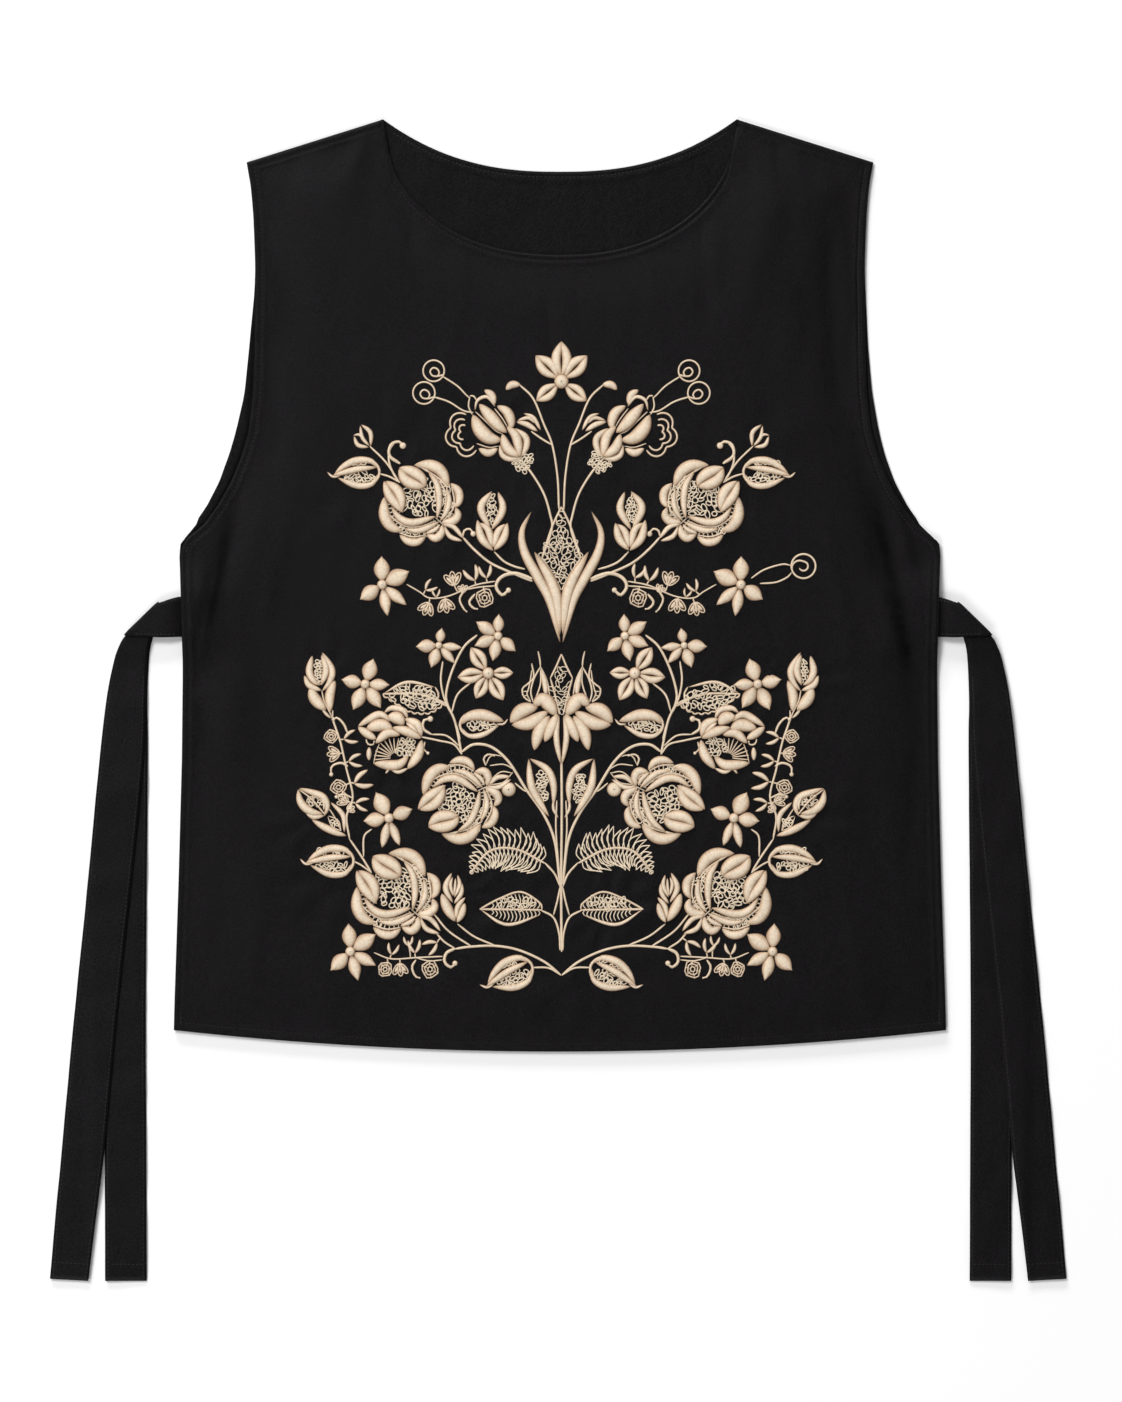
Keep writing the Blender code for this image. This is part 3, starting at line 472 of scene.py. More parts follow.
# Sprig buds: (out, up, size, kind)
sprigBuds = [
    (108.1, 120.8, 9, "bud"), (98.4, 111, 5, "bud"), (88.5, 124.5, 9, "leafy"), (75.4, 126.6, 8, "leafy"),
    (76.5, 102, 10, "rosette"), (115.4, 94.6, 9, "bud"), (134.4, 91.6, 8.5, "bud"),
    (132.2, 112.6, 7, "leafy"), (125, 106, 5, "leafy"), (229.6, -36.1, 7.5, "rosette"),
    (227, -53.4, 8, "bud"), (222.4, -86.8, 8.5, "rosette"), (212, -37.6, 8, "leafy"),
    (207.2, -60.5, 8, "leafy"), (200.4, -80.8, 10.5, "leafy"), (200.4, -103.4, 8, "leafy"),
    (217.4, -99.6, 7, "bud"), (210.4, -108, 5, "bud"), (175.8, -268.4, 8, "rosette"),
    (160.8, -268.4, 8, "bud"), (131, -268.4, 9.5, "rosette"), (128.5, -244.6, 8.5, "leafy"),
    (146.4, -247.1, 8, "leafy"), (168.5, -249.6, 7, "leafy"), (152.6, -241.6, 6, "leafy"),
]

# A disc of netting: (out, up, half width, half height)
laceDisc = (38.6, 238.1, 11, 11)


def note(words):
    print("scene:", words, flush=True)


# sRGB hex to a linear colour with alpha
def linearColour(hexColour):
    parts = [int(hexColour[i : i + 2], 16) / 255.0 for i in (1, 3, 5)]
    curve = [p / 12.92 if p <= 0.04045 else ((p + 0.055) / 1.055) ** 2.4 for p in parts]
    return (*curve, 1.0)


def smooth(value):
    held = np.clip(value, 0.0, 1.0)
    return held * held * (3.0 - 2.0 * held)


def bell(distance, width):
    return np.exp(-((distance / width) ** 2))


# A flat run of numbers as pairs
def pairs(values):
    return list(zip(values[::2], values[1::2]))


def heading(angle):
    return np.array([math.cos(angle), math.sin(angle)])


def lengthsAlong(line):
    return np.concatenate([[0.0], np.cumsum(np.linalg.norm(np.diff(line, axis=0), axis=1))])


def sidewaysOf(line, closed=False):
    if closed:
        ahead = np.roll(line, -1, axis=0) - np.roll(line, 1, axis=0)
    else:
        ahead = np.gradient(line, axis=0)
    ahead = ahead / np.maximum(np.linalg.norm(ahead, axis=1, keepdims=True), 1e-9)
    return np.column_stack([-ahead[:, 1], ahead[:, 0]])


# A smooth run of count points through the given ones, evenly spaced
def curveThrough(points, count):
    points = np.asarray(points, float)
    if len(points) == 2:
        share = np.linspace(0.0, 1.0, count)[:, None]
        return points[0] * (1.0 - share) + points[1] * share
    padded = np.concatenate([2.0 * points[:1] - points[1:2], points, 2.0 * points[-1:] - points[-2:-1]])
    t = np.linspace(0.0, 1.0, 14, endpoint=False)[:, None]
    fine = []
    for i in range(1, len(padded) - 2):
        p0, p1, p2, p3 = padded[i - 1 : i + 3]
        square = (2 * p0 - 5 * p1 + 4 * p2 - p3) * t**2
        cube = (3 * p1 - p0 - 3 * p2 + p3) * t**3
        fine.append(0.5 * (2 * p1 + (p2 - p0) * t + square + cube))
    fine = np.concatenate(fine + [points[-1:]])
    run = lengthsAlong(fine)
    even = np.linspace(0.0, run[-1], count)
    return np.stack([np.interp(even, run, column) for column in fine.T], axis=1)


def hemUp(across):
    return garment["hemCentre"] + garment["hemRiseAtSide"] * (across / garment["sideFoot"][0]) ** 2


def topUp(across, neck):
    out = np.abs(across)
    drop, fullness, roundness = garment[neck]
    tipOut, tipUp = garment["shoulderTip"]
    neckHalf = garment["neckHalf"]
    neckTop = garment["neckTop"]
    curve = neckTop - drop * (1.0 - np.clip(out / neckHalf, 0.0, 1.0) ** fullness) ** roundness
    shoulder = neckTop + (tipUp - neckTop) * ((out - neckHalf) / (tipOut - neckHalf))
    return np.where(out < neckHalf, curve, shoulder)


def backShown(up, column):
    return np.interp(up, backShows[:, 0], backShows[:, column])


# Stops from 0 to 1 that stand close together next to both ends
def denseStops(closeBand, closeCount, middle, count):
    near = list(np.linspace(0.0, closeBand, closeCount))
    stops = [*near, *middle, *(1.0 - n for n in reversed(near))]
    while len(stops) < count:
        widest = int(np.argmax(np.diff(stops)))
        stops.insert(widest + 1, 0.5 * (stops[widest] + stops[widest + 1]))
    return np.array(stops)


# A panel's points, blended from its four edges
def panelGrid(columns, rows, neck):
    s = columns[None, :, None]
    t = rows[:, None, None]
    foot = garment["sideFoot"]
    tip = garment["shoulderTip"]
    tall = foot[1] + (tip[1] - foot[1]) * rows
    sides = []
    for way, column in ((-1.0, 1), (1.0, 2)):
        out = np.interp(tall, sideEdge[:, 1], sideEdge[:, 0])
        if neck == "backNeck":
            out = out + backShown(tall, column)
        sides.append(np.stack([way * out, tall], axis=1)[:, None, :])
    lowX = (2.0 * columns - 1.0) * foot[0]
    highX = (2.0 * columns - 1.0) * tip[0]
    low = np.stack([lowX, hemUp(lowX)], axis=1)[None, :, :]
    high = np.stack([highX, topUp(highX, neck)], axis=1)[None, :, :]
    corners = (1.0 - s) * (1.0 - t) * low[:, :1] + s * (1.0 - t) * low[:, -1:]
    corners = corners + (1.0 - s) * t * high[:, :1] + s * t * high[:, -1:]
    return (1.0 - s) * sides[0] + s * sides[1] + (1.0 - t) * low + t * high - corners


# The four edges of a panel, each a run of points: hem, right side, top, left side
def panelEdges(neck):
    fine = np.linspace(0.0, 1.0, 241)
    grid = panelGrid(fine, fine, neck)
    return grid[0], grid[:, -1], grid[-1, ::-1], grid[::-1, 0]


def outlineOf(edges):
    return np.concatenate([edge[:-1:4] for edge in edges])


# Distance from each point to the path, in parts to keep the arrays small
def reachTo(points, path):
    run = np.roll(path, -1, axis=0) - path
    found = []
    for part in np.array_split(points, max(1, len(points) // 4000)):
        away = part[:, None, :] - path[None, :, :]
        share = (away * run).sum(axis=2) / np.maximum((run * run).sum(axis=1), 1e-9)
        near = away - np.clip(share, 0.0, 1.0)[:, :, None] * run
        found.append(np.sqrt((near * near).sum(axis=2)).min(axis=1))
    return np.concatenate(found)


def foldLift(points, table, overrun):
    total = np.zeros(len(points))
    for x0, y0, x1, y1, halfWidth, rise in table:
        start = np.array([x0, y0])
        run = np.array([x1, y1]) - start
        share = np.clip((points - start) @ run / (run @ run), -overrun, 1.0 + overrun)
        away = np.linalg.norm(points - start - share[:, None] * run, axis=1)
        ends = smooth(np.minimum(share + overrun, 1.0 + overrun - share) / 0.5)
        total = total + rise * ends * bell(away, halfWidth)
    return total


# How far the front stands off the back, as in the solid
def frontLift(points, inside):
    waves = 0.35 * np.sin(points[:, 0] / 61.0 + 0.8) * np.sin(points[:, 1] / 83.0 + 0.3)
    lift = smooth(inside / cloth["swellRun"]) * (cloth["swell"] + waves)
    lift = np.maximum(lift + smooth(inside / 14.0) * foldLift(points, largeFolds, 0.35), 0.0)
    near = np.exp(-(((points[:, 1] - cloth["tieRootUp"]) / 30.0) ** 4))
    near = near * smooth((np.abs(points[:, 0]) - 176.0) / 54.0)
    root = cloth["tieRootRise"] * near
    return 0.5 * (lift + root + np.sqrt((lift - root) ** 2 + 0.8**2 * near))


# How much painted shade each point gets in the deep folds, 0 to 1
def creaseShade(points):
    total = np.zeros(len(points))
    for halfWidth, depth, *path in paintedCreaseShade:
        away = np.linalg.norm(points[:, None, :] - curveThrough(pairs(path), 28)[None, :, :], axis=2)
        share = away.argmin(axis=1) / 27.0
        ends = smooth(np.minimum(share, 1.0 - share) / 0.34)
        total = np.maximum(total, depth * ends * bell(away.min(axis=1), halfWidth))
    return total


# Small gathers that the dense stitching draws up in the cloth round each flower
def puckerLift(points):
    total = np.zeros(len(points))
    rng = np.random.default_rng(7)
    for _, _, out, up, size, _ in halfFlowers:
        for side in (-1.0, 1.0):
            away = points - onCloth(np.array([out, up]), side)
            turn = np.arctan2(away[:, 1], away[:, 0])
            reach = size * chartUnit
            folds = int(rng.integers(7, 12))
            phase = rng.uniform(0.0, 6.28)
            ring = bell(np.hypot(away[:, 0], away[:, 1]) - reach * 1.12, 0.34 * reach + 4.0)
            uneven = 0.6 + 0.4 * np.sin(2.0 * turn + phase * 1.7)
            total = total + ring * uneven * np.sin(folds * turn + phase)
    return cloth["puckers"] * np.clip(total, -2.2, 2.2)


# Short, nearly upright wrinkles that the stitching draws up between the flowers
def gatherFolds():
    rng = np.random.default_rng(23)
    folds = []
    for _ in range(cloth["wrinkles"]):
        x = rng.uniform(-128.0, 128.0)
        y = rng.uniform(-190.0, 205.0)
        long = rng.uniform(7.0, 19.0)
        lean = rng.normal(0.0, 0.26) - 0.0016 * x
        width = rng.uniform(2.4, 4.4)
        rise = rng.choice((-1.0, 1.0)) * rng.uniform(0.34, 0.66)
        folds.append((x, y, x + long * math.sin(lean), y + long * math.cos(lean), width, rise))
    return folds


# Top of the front cloth with its creases and gathers, and each point's distance from the edge
def frontTopAt(points):
    inside = reachTo(points, frontOutline)
    fine = smooth(inside / 10.0) * foldLift(points, smallCreases + gatherFolds(), 0.3)
    fine = fine + smooth(inside / 16.0) * puckerLift(points)
    lift = np.maximum(frontLift(points, inside) + fine, 0.0)
    return garment["backWall"] + garment["gap"] + garment["frontWall"] + lift, inside


# Front top on a raster, so that the embroidery can be laid on it quickly
def makeHeightMap():
    across = np.arange(-262.0, 262.1, mapStep)
    along = np.arange(-240.0, 390.1, mapStep)
    gridX, gridY = np.meshgrid(across, along)
    top, _ = frontTopAt(np.column_stack([gridX.ravel(), gridY.ravel()]))
    return across, along, top.reshape(gridX.shape)


def surfaceAt(plan):
    across, along, top = heightMap
    fx = np.clip((plan[..., 0] - across[0]) / mapStep, 0.0, len(across) - 1.001)
    fy = np.clip((plan[..., 1] - along[0]) / mapStep, 0.0, len(along) - 1.001)
    ix = fx.astype(int)
    iy = fy.astype(int)
    ax = fx - ix
    low = top[iy, ix] * (1.0 - ax) + top[iy, ix + 1] * ax
    high = top[iy + 1, ix] * (1.0 - ax) + top[iy + 1, ix + 1] * ax
    return low * (1.0 - (fy - iy)) + high * (fy - iy)


def newBatch():
    return {"points": [], "quads": [], "rim": [], "uv": [], "count": 0}


# points is rows by columns by 3. closed joins the last row to the first
def addGrid(batch, points, rim=None, uv=None, closed=False, faceUp=True):
    rows, columns = points.shape[:2]
    index = batch["count"] + np.arange(rows * columns).reshape(rows, columns)
    if closed:
        index = np.concatenate([index, index[:1]])
    corners = [index[:-1, :-1], index[:-1, 1:], index[1:, 1:], index[1:, :-1]]
    quads = np.stack(corners, axis=-1).reshape(-1, 4)
    if faceUp:
        middle = points[: rows // 2 + 2, : columns // 2 + 2]
        along = middle[-1, -2] - middle[-2, -2]
        across = middle[-2, -1] - middle[-2, -2]
        if across[0] * along[1] - across[1] * along[0] < 0.0:
            quads = quads[:, ::-1]
    batch["points"].append(points.reshape(-1, 3))
    batch["quads"].append(quads)
    batch["rim"].append(np.zeros(rows * columns) if rim is None else rim.ravel())
    batch["uv"].append(np.zeros((rows * columns, 2)) if uv is None else uv.reshape(-1, 2))
    batch["count"] += rows * columns


# One piece from a batch. weld joins the points that lie in the same place
def makePiece(name, batch, material, solid=None, weld=False):
    points = np.concatenate(batch["points"]) * mm
    corners = np.concatenate(batch["quads"])
    rims = np.concatenate(batch["rim"])
    quads = corners
    if weld:
        keys = np.round(points * 1e6).astype(np.int64)
        _, first, which = np.unique(keys, axis=0, return_index=True, return_inverse=True)
        points = points[first]
        rims = rims[first]
        quads = which.reshape(-1)[corners]
    mesh = bpy.data.meshes.new(name)
    mesh.vertices.add(len(points))
    mesh.vertices.foreach_set("co", points.astype(np.float32).ravel())
    mesh.loops.add(len(quads) * 4)
    mesh.loops.foreach_set("vertex_index", quads.astype(np.int32).ravel())
    mesh.polygons.add(len(quads))
    mesh.polygons.foreach_set("loop_start", np.arange(0, len(quads) * 4, 4, dtype=np.int32))
    mesh.update(calc_edges=True)
    mesh.polygons.foreach_set("use_smooth", np.ones(len(quads), dtype=bool))
    # The rim value darkens the colour: partly painted shade on the threads' sides, painted shade on the
    # cloth
    mesh.attributes.new("rim", "FLOAT", "POINT").data.foreach_set("value", rims.astype(np.float32))
    uv = np.concatenate(batch["uv"])[corners.ravel()]
    mesh.uv_layers.new(name="thread").data.foreach_set("uv", uv.astype(np.float32).ravel())
    mesh.materials.append(material)
    mesh.validate()
    piece = bpy.data.objects.new(name, mesh)
    bpy.context.scene.collection.objects.link(piece)
    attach(piece, "root")
    if solid:
        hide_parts(solid)
    return piece


# Chart units to millimetres on the panel, mirrored for side -1
def onCloth(plan, side):
    return plan * chartUnit * np.array([side, 1.0]) + np.array([chartMiddle, 0.0])


# Plan of a ribbon along a line, and its thread coordinates. shares run across it, -1 to 1
def ribbon(line, shares, half, closed=False):
    offset = shares * half[:, None]
    plan = line[:, None, :] + sidewaysOf(line, closed)[:, None, :] * offset[:, :, None]
    run = np.broadcast_to(lengthsAlong(line)[:, None], offset.shape)
    return plan, np.stack([run, offset], axis=2)


def layOn(batch, plan, height, rim, uv, closed=False):
    z = surfaceAt(plan) + height
    addGrid(batch, np.concatenate([plan, z[:, :, None]], axis=2), rim, uv, closed)


# A domed, stitched petal on the front. spine and width are in chart units
def addPad(batch, spine, width, side, layer=0, tall=None, blunt=0.62, count=17, peak=0.5, crown=2.3):
    line = onCloth(curveThrough(spine, count), side)
    wide = width * chartUnit * 0.5
    bent = np.clip(np.linspace(0.0, 1.0, count), 0.003, 0.997) ** (math.log(0.5) / math.log(peak))
    swell = np.sin(math.pi * np.clip(bent, 0.003, 0.997)) ** blunt
    tall = 0.62 + 0.17 * wide if tall is None else tall
    plan, uv = ribbon(line, padAcross, wide * swell)
    dome = (1.0 - np.abs(padAcross) ** crown) ** 0.66
    height = 0.10 + layerRise * layer + tall * dome * (0.35 + 0.65 * swell[:, None])
    height[:, [0, -1]] = -sunk
    # Rim value toward the petal's steep sides and thin ends: the thread's tan edge, partly painted shade
    rim = np.maximum(np.abs(padAcross) ** 3.2, ((1.0 - swell[:, None]) ** 2) * 0.9)
    layOn(batch, plan, height, rim, uv)


# A stem-stitched line. taper is the share of the width left at its far end
def addStem(batch, points, width, side, taper=1.0, closed=False, tall=0.55, lift=0.0, count=None):
    points = np.asarray(points, float)
    if count is None:
        count = int(np.clip(lengthsAlong(points)[-1] / 2.6, 6, 70))
    line = onCloth(points if closed else curveThrough(points, count), side)
    size = len(line)
    t = np.linspace(0.0, 1.0, size)
    half = 0.5 * width * chartUnit * (1.0 + (taper - 1.0) * t)
    if not closed:
        half = half * np.clip(np.minimum(t, 1.0 - t) * size * 0.7, 0.25, 1.0) ** 0.5
    plan, uv = ribbon(line, stemAcross, half, closed)
    height = np.tile(lift + tall * np.sqrt(1.0 - stemAcross**2) + 0.06, (size, 1))
    height[:, [0, -1]] = lift - (sunk if lift == 0.0 else 0.3)
    # Rim value on the line's round sides: partly painted shade
    layOn(batch, plan, height, np.tile(np.abs(stemAcross) ** 3 * 0.8, (size, 1)), uv, closed)


def ringPoints(out, up, wide, tall, turn, count=9):
    angle = np.linspace(0.0, 2.0 * math.pi, count + 1)[:-1]
    x = wide * np.cos(angle)
    y = tall * np.sin(angle)
    c, s = heading(turn)
    return np.column_stack([out + x * c - y * s, up + x * s + y * c])


def addDot(batch, out, up, radius, side, tall=0.9, lift=0.1):
    count = 16
    ring = ringPoints(0.0, 0.0, 1.0, 1.0, 0.0, count)
    shares = np.array([1.0, 0.99, 0.8, 0.5, 0.08])
    plan = onCloth(np.array([out, up]) + ring[:, None, :] * (shares * radius)[None, :, None], side)
    height = np.tile(lift + tall * (1.0 - shares**2.2) ** 0.6, (count, 1))
    height[:, 0] = -sunk
    # Rim value round the dot's sloping edge: partly painted shade
    layOn(batch, plan, height, np.tile(shares**5, (count, 1)), plan, True)


# Netting of small uneven thread loops over an oval or a kite
def fillLace(batch, side, out, up, halfWide, halfTall, pitch, turn=0.0, cord=1.25, kite=False):
    step = pitch * 0.84
    c, s = heading(turn)
    for row in np.arange(-halfTall, halfTall + 0.1, step):
        for spot in np.arange(-halfWide, halfWide + 0.1, pitch):
            x = spot + chance.uniform(-0.25, 0.25) * pitch + 0.5 * pitch * (int(round(row / step)) % 2)
            y = row + chance.uniform(-0.25, 0.25) * pitch
            if kite:
                share = (y / halfTall + 1.0) * 0.5
                inside = abs(x) < halfWide * min(share / 0.38, (1.0 - share) / 0.62) - 2.2
            else:
                inside = (x / halfWide) ** 2 + (y / halfTall) ** 2 < 0.96
            if not inside or chance.uniform() < 0.10:
                continue
            wide = chance.uniform(0.46, 0.82) * pitch
            tall = chance.uniform(0.24, 0.50) * pitch
            lean = chance.uniform(0.0, 3.14)
            loop = ringPoints(out + x * c - y * s, up + x * s + y * c, wide, tall, lean, 11)
            addStem(batch, loop, cord, side, closed=True, tall=0.5, lift=chance.uniform(0.0, 0.3))


# Points of a motif's own chart on the panel's. x runs to the middle, or outward for way 1
def placed(points, out, up, size, turn=0.0, flip=1.0, way=-1.0):
    c, s = size * heading(math.radians(turn))
    return [(out + way * (x * c - flip * y * s), up + x * s + flip * y * c) for x, y in points]


def around(spot, *values):
    return [(spot[0] + x, spot[1] + y) for x, y in pairs(values)]


# Short threads that cross the rose's ring like rungs
def addRungs(batch, lace, side, spot):
    for angle in range(150, 345, 8):
        a = math.radians(angle)
        rung = [(r * math.cos(a) - 0.02, r * math.sin(a)) for r in (0.50, 0.84)]
        addStem(lace, placed(rung, *spot), 1.2, side, tall=0.45, count=5)


# The peony's outer petals, drawn with outlines only: arcs of round lobes
def addPeonyLobes(batch, lace, side, spot):
    out, up = peonyLobeCentre
    for radius, depth, first, last, lobes in peonyLobes:
        share = np.linspace(0.0, 1.0, 8 * lobes + 1)
        angle = np.radians(first + (last - first) * share)
        reach = radius - depth + 2.0 * depth * np.abs(np.sin(math.pi * lobes * share))
        line = np.column_stack([out + reach * np.cos(angle), up + reach * np.sin(angle)])
        addStem(batch, line, 2.1, side, count=48)


# Long straight stitches that spread from the half-open peony's heart
def addFan(batch, lace, side, spot):
    for a in np.radians(np.linspace(80.0, 186.0, 9)):
        c, s = heading(a)
        line = [(0.13 + 0.14 * c, -0.52 + 0.14 * s), (0.13 + 0.64 * c, -0.52 + 0.60 * s)]
        addStem(batch, placed(line, *spot), 1.5, side, tall=0.6, lift=0.2)


def addLeafBase(batch, lace, side, spot):
    base = ((0.13, 0.25), (0.03, 0.14), (-0.01, 0.03), (0.02, -0.09), (0.12, -0.22))
    addStem(batch, placed(base, *spot), 3.0, side, tall=0.75)


def addMeshLeaf(batch, lace, side, spot):
    addStem(batch, around(spot, -32, -8, -6, 3.8, 32, 4.4), 2.6, side)
    addPad(batch, around(spot, 31, 5, 8, 16, -20, 11), 3.4, side)
    addStem(batch, around(spot, -20, 11, -23.5, 4, -21.5, -4), 2.2, side)
    edge = curveThrough(around(spot, 32, 4.4, 16, -6, 4, -13, -14, -14, -27, -6), 11)
    for first, last in zip(edge[:-1], edge[1:]):
        x, y = last - first
        bulge = 0.5 * (first + last) + np.array([-y, x]) * 0.28
        addStem(batch, (first, bulge, last), 2.0, side, count=7)
    fillLace(lace, side, *around(spot, 1, 1.6)[0], 27.0, 11.5, 5.2, 0.19)


def addNetLeaf(batch, lace, side, spot):
    addStem(batch, around(spot, -27, -1, 0, -0.6, 35, -0.2), 2.4, side)
    addPad(batch, around(spot, 35, -0.2, 8, -15.5, -25, -6), 3.6, side)
    addStem(batch, around(spot, 35, -0.2, 16, 10, -6, 17, -25, 6, -27, -1), 2.2, side)
    for step in np.linspace(-22.0, 24.0, 13):
        reach = 15.0 * (1.0 - (step / 32.0) ** 2)
        for half, full in ((0.5, 1.0), (-0.5, -0.85)):
            line = around(spot, step, 0, step - 3.0, half * reach, step - 1.0, full * reach)
            addStem(lace, line, 1.2, side, tall=0.35)
    fillLace(lace, side, *around(spot, -2, 6)[0], 21.0, 6.0, 5.2)


def addFern(batch, lace, side, spot):
    spine = curveThrough(around(spot, -37, -10, -8, 4, 18, 2, 37, -20), 40)
    addStem(batch, spine[::3], 2.6, side)
    ways = sidewaysOf(spine)
    for i in range(2, 39, 2):
        t = i / 39.0
        reach = 19.5 * (math.sin(math.pi * min(t * 0.93 + 0.10, 1.0)) ** 0.7) + 3.0
        foot = spine[i]
        back = (foot - spine[i - 1]) / np.linalg.norm(foot - spine[i - 1])
        for way in (1.0, -1.0):
            far = reach * chance.uniform(0.80, 1.12) * (1.24 - 0.5 * t)
            arm = ways[i] * way * far
            tip = foot + arm * 0.95 + back * far * chance.uniform(0.26, 0.40)
            knee = foot + arm * 0.5 - back * far * 0.10
            heel = foot + arm * 0.48 + back * (far * 0.10 + 2.0)
            addStem(lace, (foot, knee, tip), 1.35, side, tall=0.45, count=9)
            addStem(lace, (tip, heel, foot + back * 2.4), 1.1, side, tall=0.4, count=9)


# Each kind of motif: petals, cords, netting as (x, y, half width, half height, pitch) and
# what else is sewn on it
rose = (rosePetals, roseCords, (
    (-0.02, 0.12, 0.48, 0.46, 5.6), (0.50, 0.36, 0.16, 0.36, 5.4),
    (0.68, -0.02, 0.10, 0.32, 5.2), (-0.10, -0.62, 0.44, 0.10, 5.2),
), addRungs)
kinds = {
    "rose": rose,
    "roseFlipped": rose,
    "peony": (peonyPetals, peonyCords, (), addPeonyLobes),
    "halfPeony": (halfPeonyPetals, halfPeonyCords, ((0.46, -0.22, 0.31, 0.29, 4.2),), addFan),
    "closedBud": (closedBudPetals, (), (), None),
    "sideBud": (sideBudPetals, sideBudCords, ((-0.14, 0.40, 0.13, 0.36, 3.6),), None),
    "bud": (budPetals, (), ((0.0, 0.4, 0.22, 0.5, 4.2),), None),
    "leaf": (leafPetals, (), ((0.38, -0.08, 0.32, 0.12, 4.6), (0.42, 0.18, 0.28, 0.05, 4.6)), addLeafBase),
    "leafInward": (inwardPetals, (), ((0.40, -0.03, 0.34, 0.13, 4.6),), addLeafBase),
    "leafPair": (
        pairPetals, pairCords,
        ((-0.28, 0.38, 0.24, 0.18, 3.8), (0.27, -0.24, 0.13, 0.13, 3.6)), None,
    ),
    "upright": (uprightPetals, (), ((-0.02, 0.0, 0.22, 0.55, 4.2),), None),
    "meshLeaf": ((), (), (), addMeshLeaf),
    "netLeaf": ((), (), (), addNetLeaf),
    "fern": ((), (), (), addFern),
}


# The padded piece stands for its solid, and its netting rides with it
def finishMotif(solid, batch, lace, materials):
    words = solid.split("_")
    name = words[0] + "".join(word.capitalize() for word in words[1:] or ["flower"])
    made = [makePiece(name, batch, materials["padded"], solid)]
    if lace is not None and lace["points"]:
        made.append(makePiece(name + "Netting", lace, materials["lace"]))
    return made


def addMotif(solid, kind, out, up, size, turn, side, materials):
    batch = newBatch()
    lace = newBatch()
    way = 1.0 if kind == "leaf" else -1.0
    spot = (out, up, size, turn, -1.0 if kind == "roseFlipped" else 1.0, way)
    petals, cords, nets, addMore = kinds[kind]
    for width, layer, *points in petals:
        addPad(batch, placed(pairs(points), *spot), width * size, side, layer)
    for width, layer, *points in cords:
        lift = layerRise * layer
        addStem(batch, placed(pairs(points), *spot), width * size, side, 0.8, tall=0.7, lift=lift)
    if addMore:
        addMore(batch, lace, side, spot)
    for x, y, wide, tall, pitch in nets:
        (middle,) = placed([(x, y)], *spot)
        fillLace(lace, side, *middle, wide * size, tall * size, pitch, way * math.radians(turn))
    return finishMotif(solid, batch, lace, materials)


def addBlossom(solid, name, out, up, core, side, materials):
    batch = newBatch()
    centre = np.array([out, up])
    split = name in ("crown_blossom", "blossom_c")
    for angle, reach in blossomTips[name]:
        others = [other for other, _ in blossomTips[name] if other != angle]
        apart = min(abs((angle - other + 180.0) % 360.0 - 180.0) for other in others)
        room = (core * 0.55 + reach) * math.sin(math.radians(0.5 * apart))
        ahead = heading(math.radians(180.0 - angle))
        across = np.array([-ahead[1], ahead[0]])
        long = reach - core * 0.55
        start = centre + ahead * core * 0.55
        tip = centre + ahead * reach
        if split:
            for way in (1.0, -1.0):
                middle = centre + ahead * (core * 0.5 + 0.52 * long) + across * way * long * 0.15
                addPad(batch, (start, middle, tip), long * 0.27, side, 0.5, None, 0.78, 19, 0.54)
        else:
            ridge = (centre + ahead * (core + 0.35 * long), tip + ahead * 0.8)
            addPad(batch, (start, tip), min(long * 0.68, room), side, 0.5, 1.15, 0.9, 21, 0.50, 1.4)
            addPad(batch, ridge, long * 0.30, side, 0.7, 1.0, 0.9, 13, 0.42)
    addDot(batch, out, up, core * (1.12 if split else 0.98), side, 1.5, 0.8)
    return finishMotif(solid, batch, None, materials)


# The spot of the nearest thin stem, so that a bud turns away from it
def nearestStem(out, up):
    lines = np.concatenate([curveThrough(pairs(points), 40) for width, _, *points in stems if width < 2.9])
    return lines[np.argmin(np.hypot(lines[:, 0] - out, lines[:, 1] - up))]


def addSprigBud(batch, out, up, size, kind, side):
    size = (0.98 if kind == "rosette" else 1.2) * size
    middle = np.array([out, up])
    foot = nearestStem(out, up)
    x, y = middle - foot
    far = math.hypot(x, y)
    turn = math.atan2(y, x) if far > 1.0 else chance.uniform(0.0, 6.28)
    turn = turn + chance.uniform(-0.25, 0.25)
    ahead = heading(turn)
    base = middle - ahead * size * 0.55
    if 2.0 < far < 22.0:
        addStem(batch, (foot, 0.5 * (foot + base) + chance.uniform(-0.8, 0.8, 2), base), 1.7, side)
    if kind == "rosette":
        for share, count in ((1.0, 12), (0.66, 10), (0.30, 8)):
            wave = 1.0 + 0.10 * np.cos(np.linspace(0.0, 2.0 * math.pi, count + 1)[:-1] * 4.0 + turn)
            loop = ringPoints(0.0, 0.0, size * 0.92 * share, size * 0.84 * share, turn, count)
            addStem(batch, middle + loop * wave[:, None], 1.6, side, closed=True)
        for way in np.arange(0.0, 6.2, 1.05):
            spoke = heading(turn + way) * size
            addStem(batch, (middle + spoke * 0.34, middle + spoke * 0.86), 1.2, side, tall=0.45, count=5)
    elif kind == "bud":
        for way in (-0.62, 0.62, 0.0):
            toTip = size * heading(turn + way)
            centre = base + 0.62 * toTip
            loop = ringPoints(*centre, 0.64 * size, 0.27 * size, turn + way, 12)
            addStem(batch, loop, 1.5, side, closed=True, tall=0.5)
            ends = (centre - 0.40 * toTip, centre + 0.40 * toTip)
            addPad(batch, ends, 0.34 * size, side, tall=0.45, count=8)
        addPad(batch, (base, middle, middle + ahead * size * 0.45), 2.2, side, count=8)
    else:
        for way in (-0.42, 0.42):
            c, s = heading(turn + way)
            end = base + 1.55 * size * np.array([c, s])
            bulge = 0.5 * (base + end) + 0.16 * size * np.array([-s, c]) * np.sign(way)
            addPad(batch, (base, bulge, end), 0.42 * size, side, count=11)


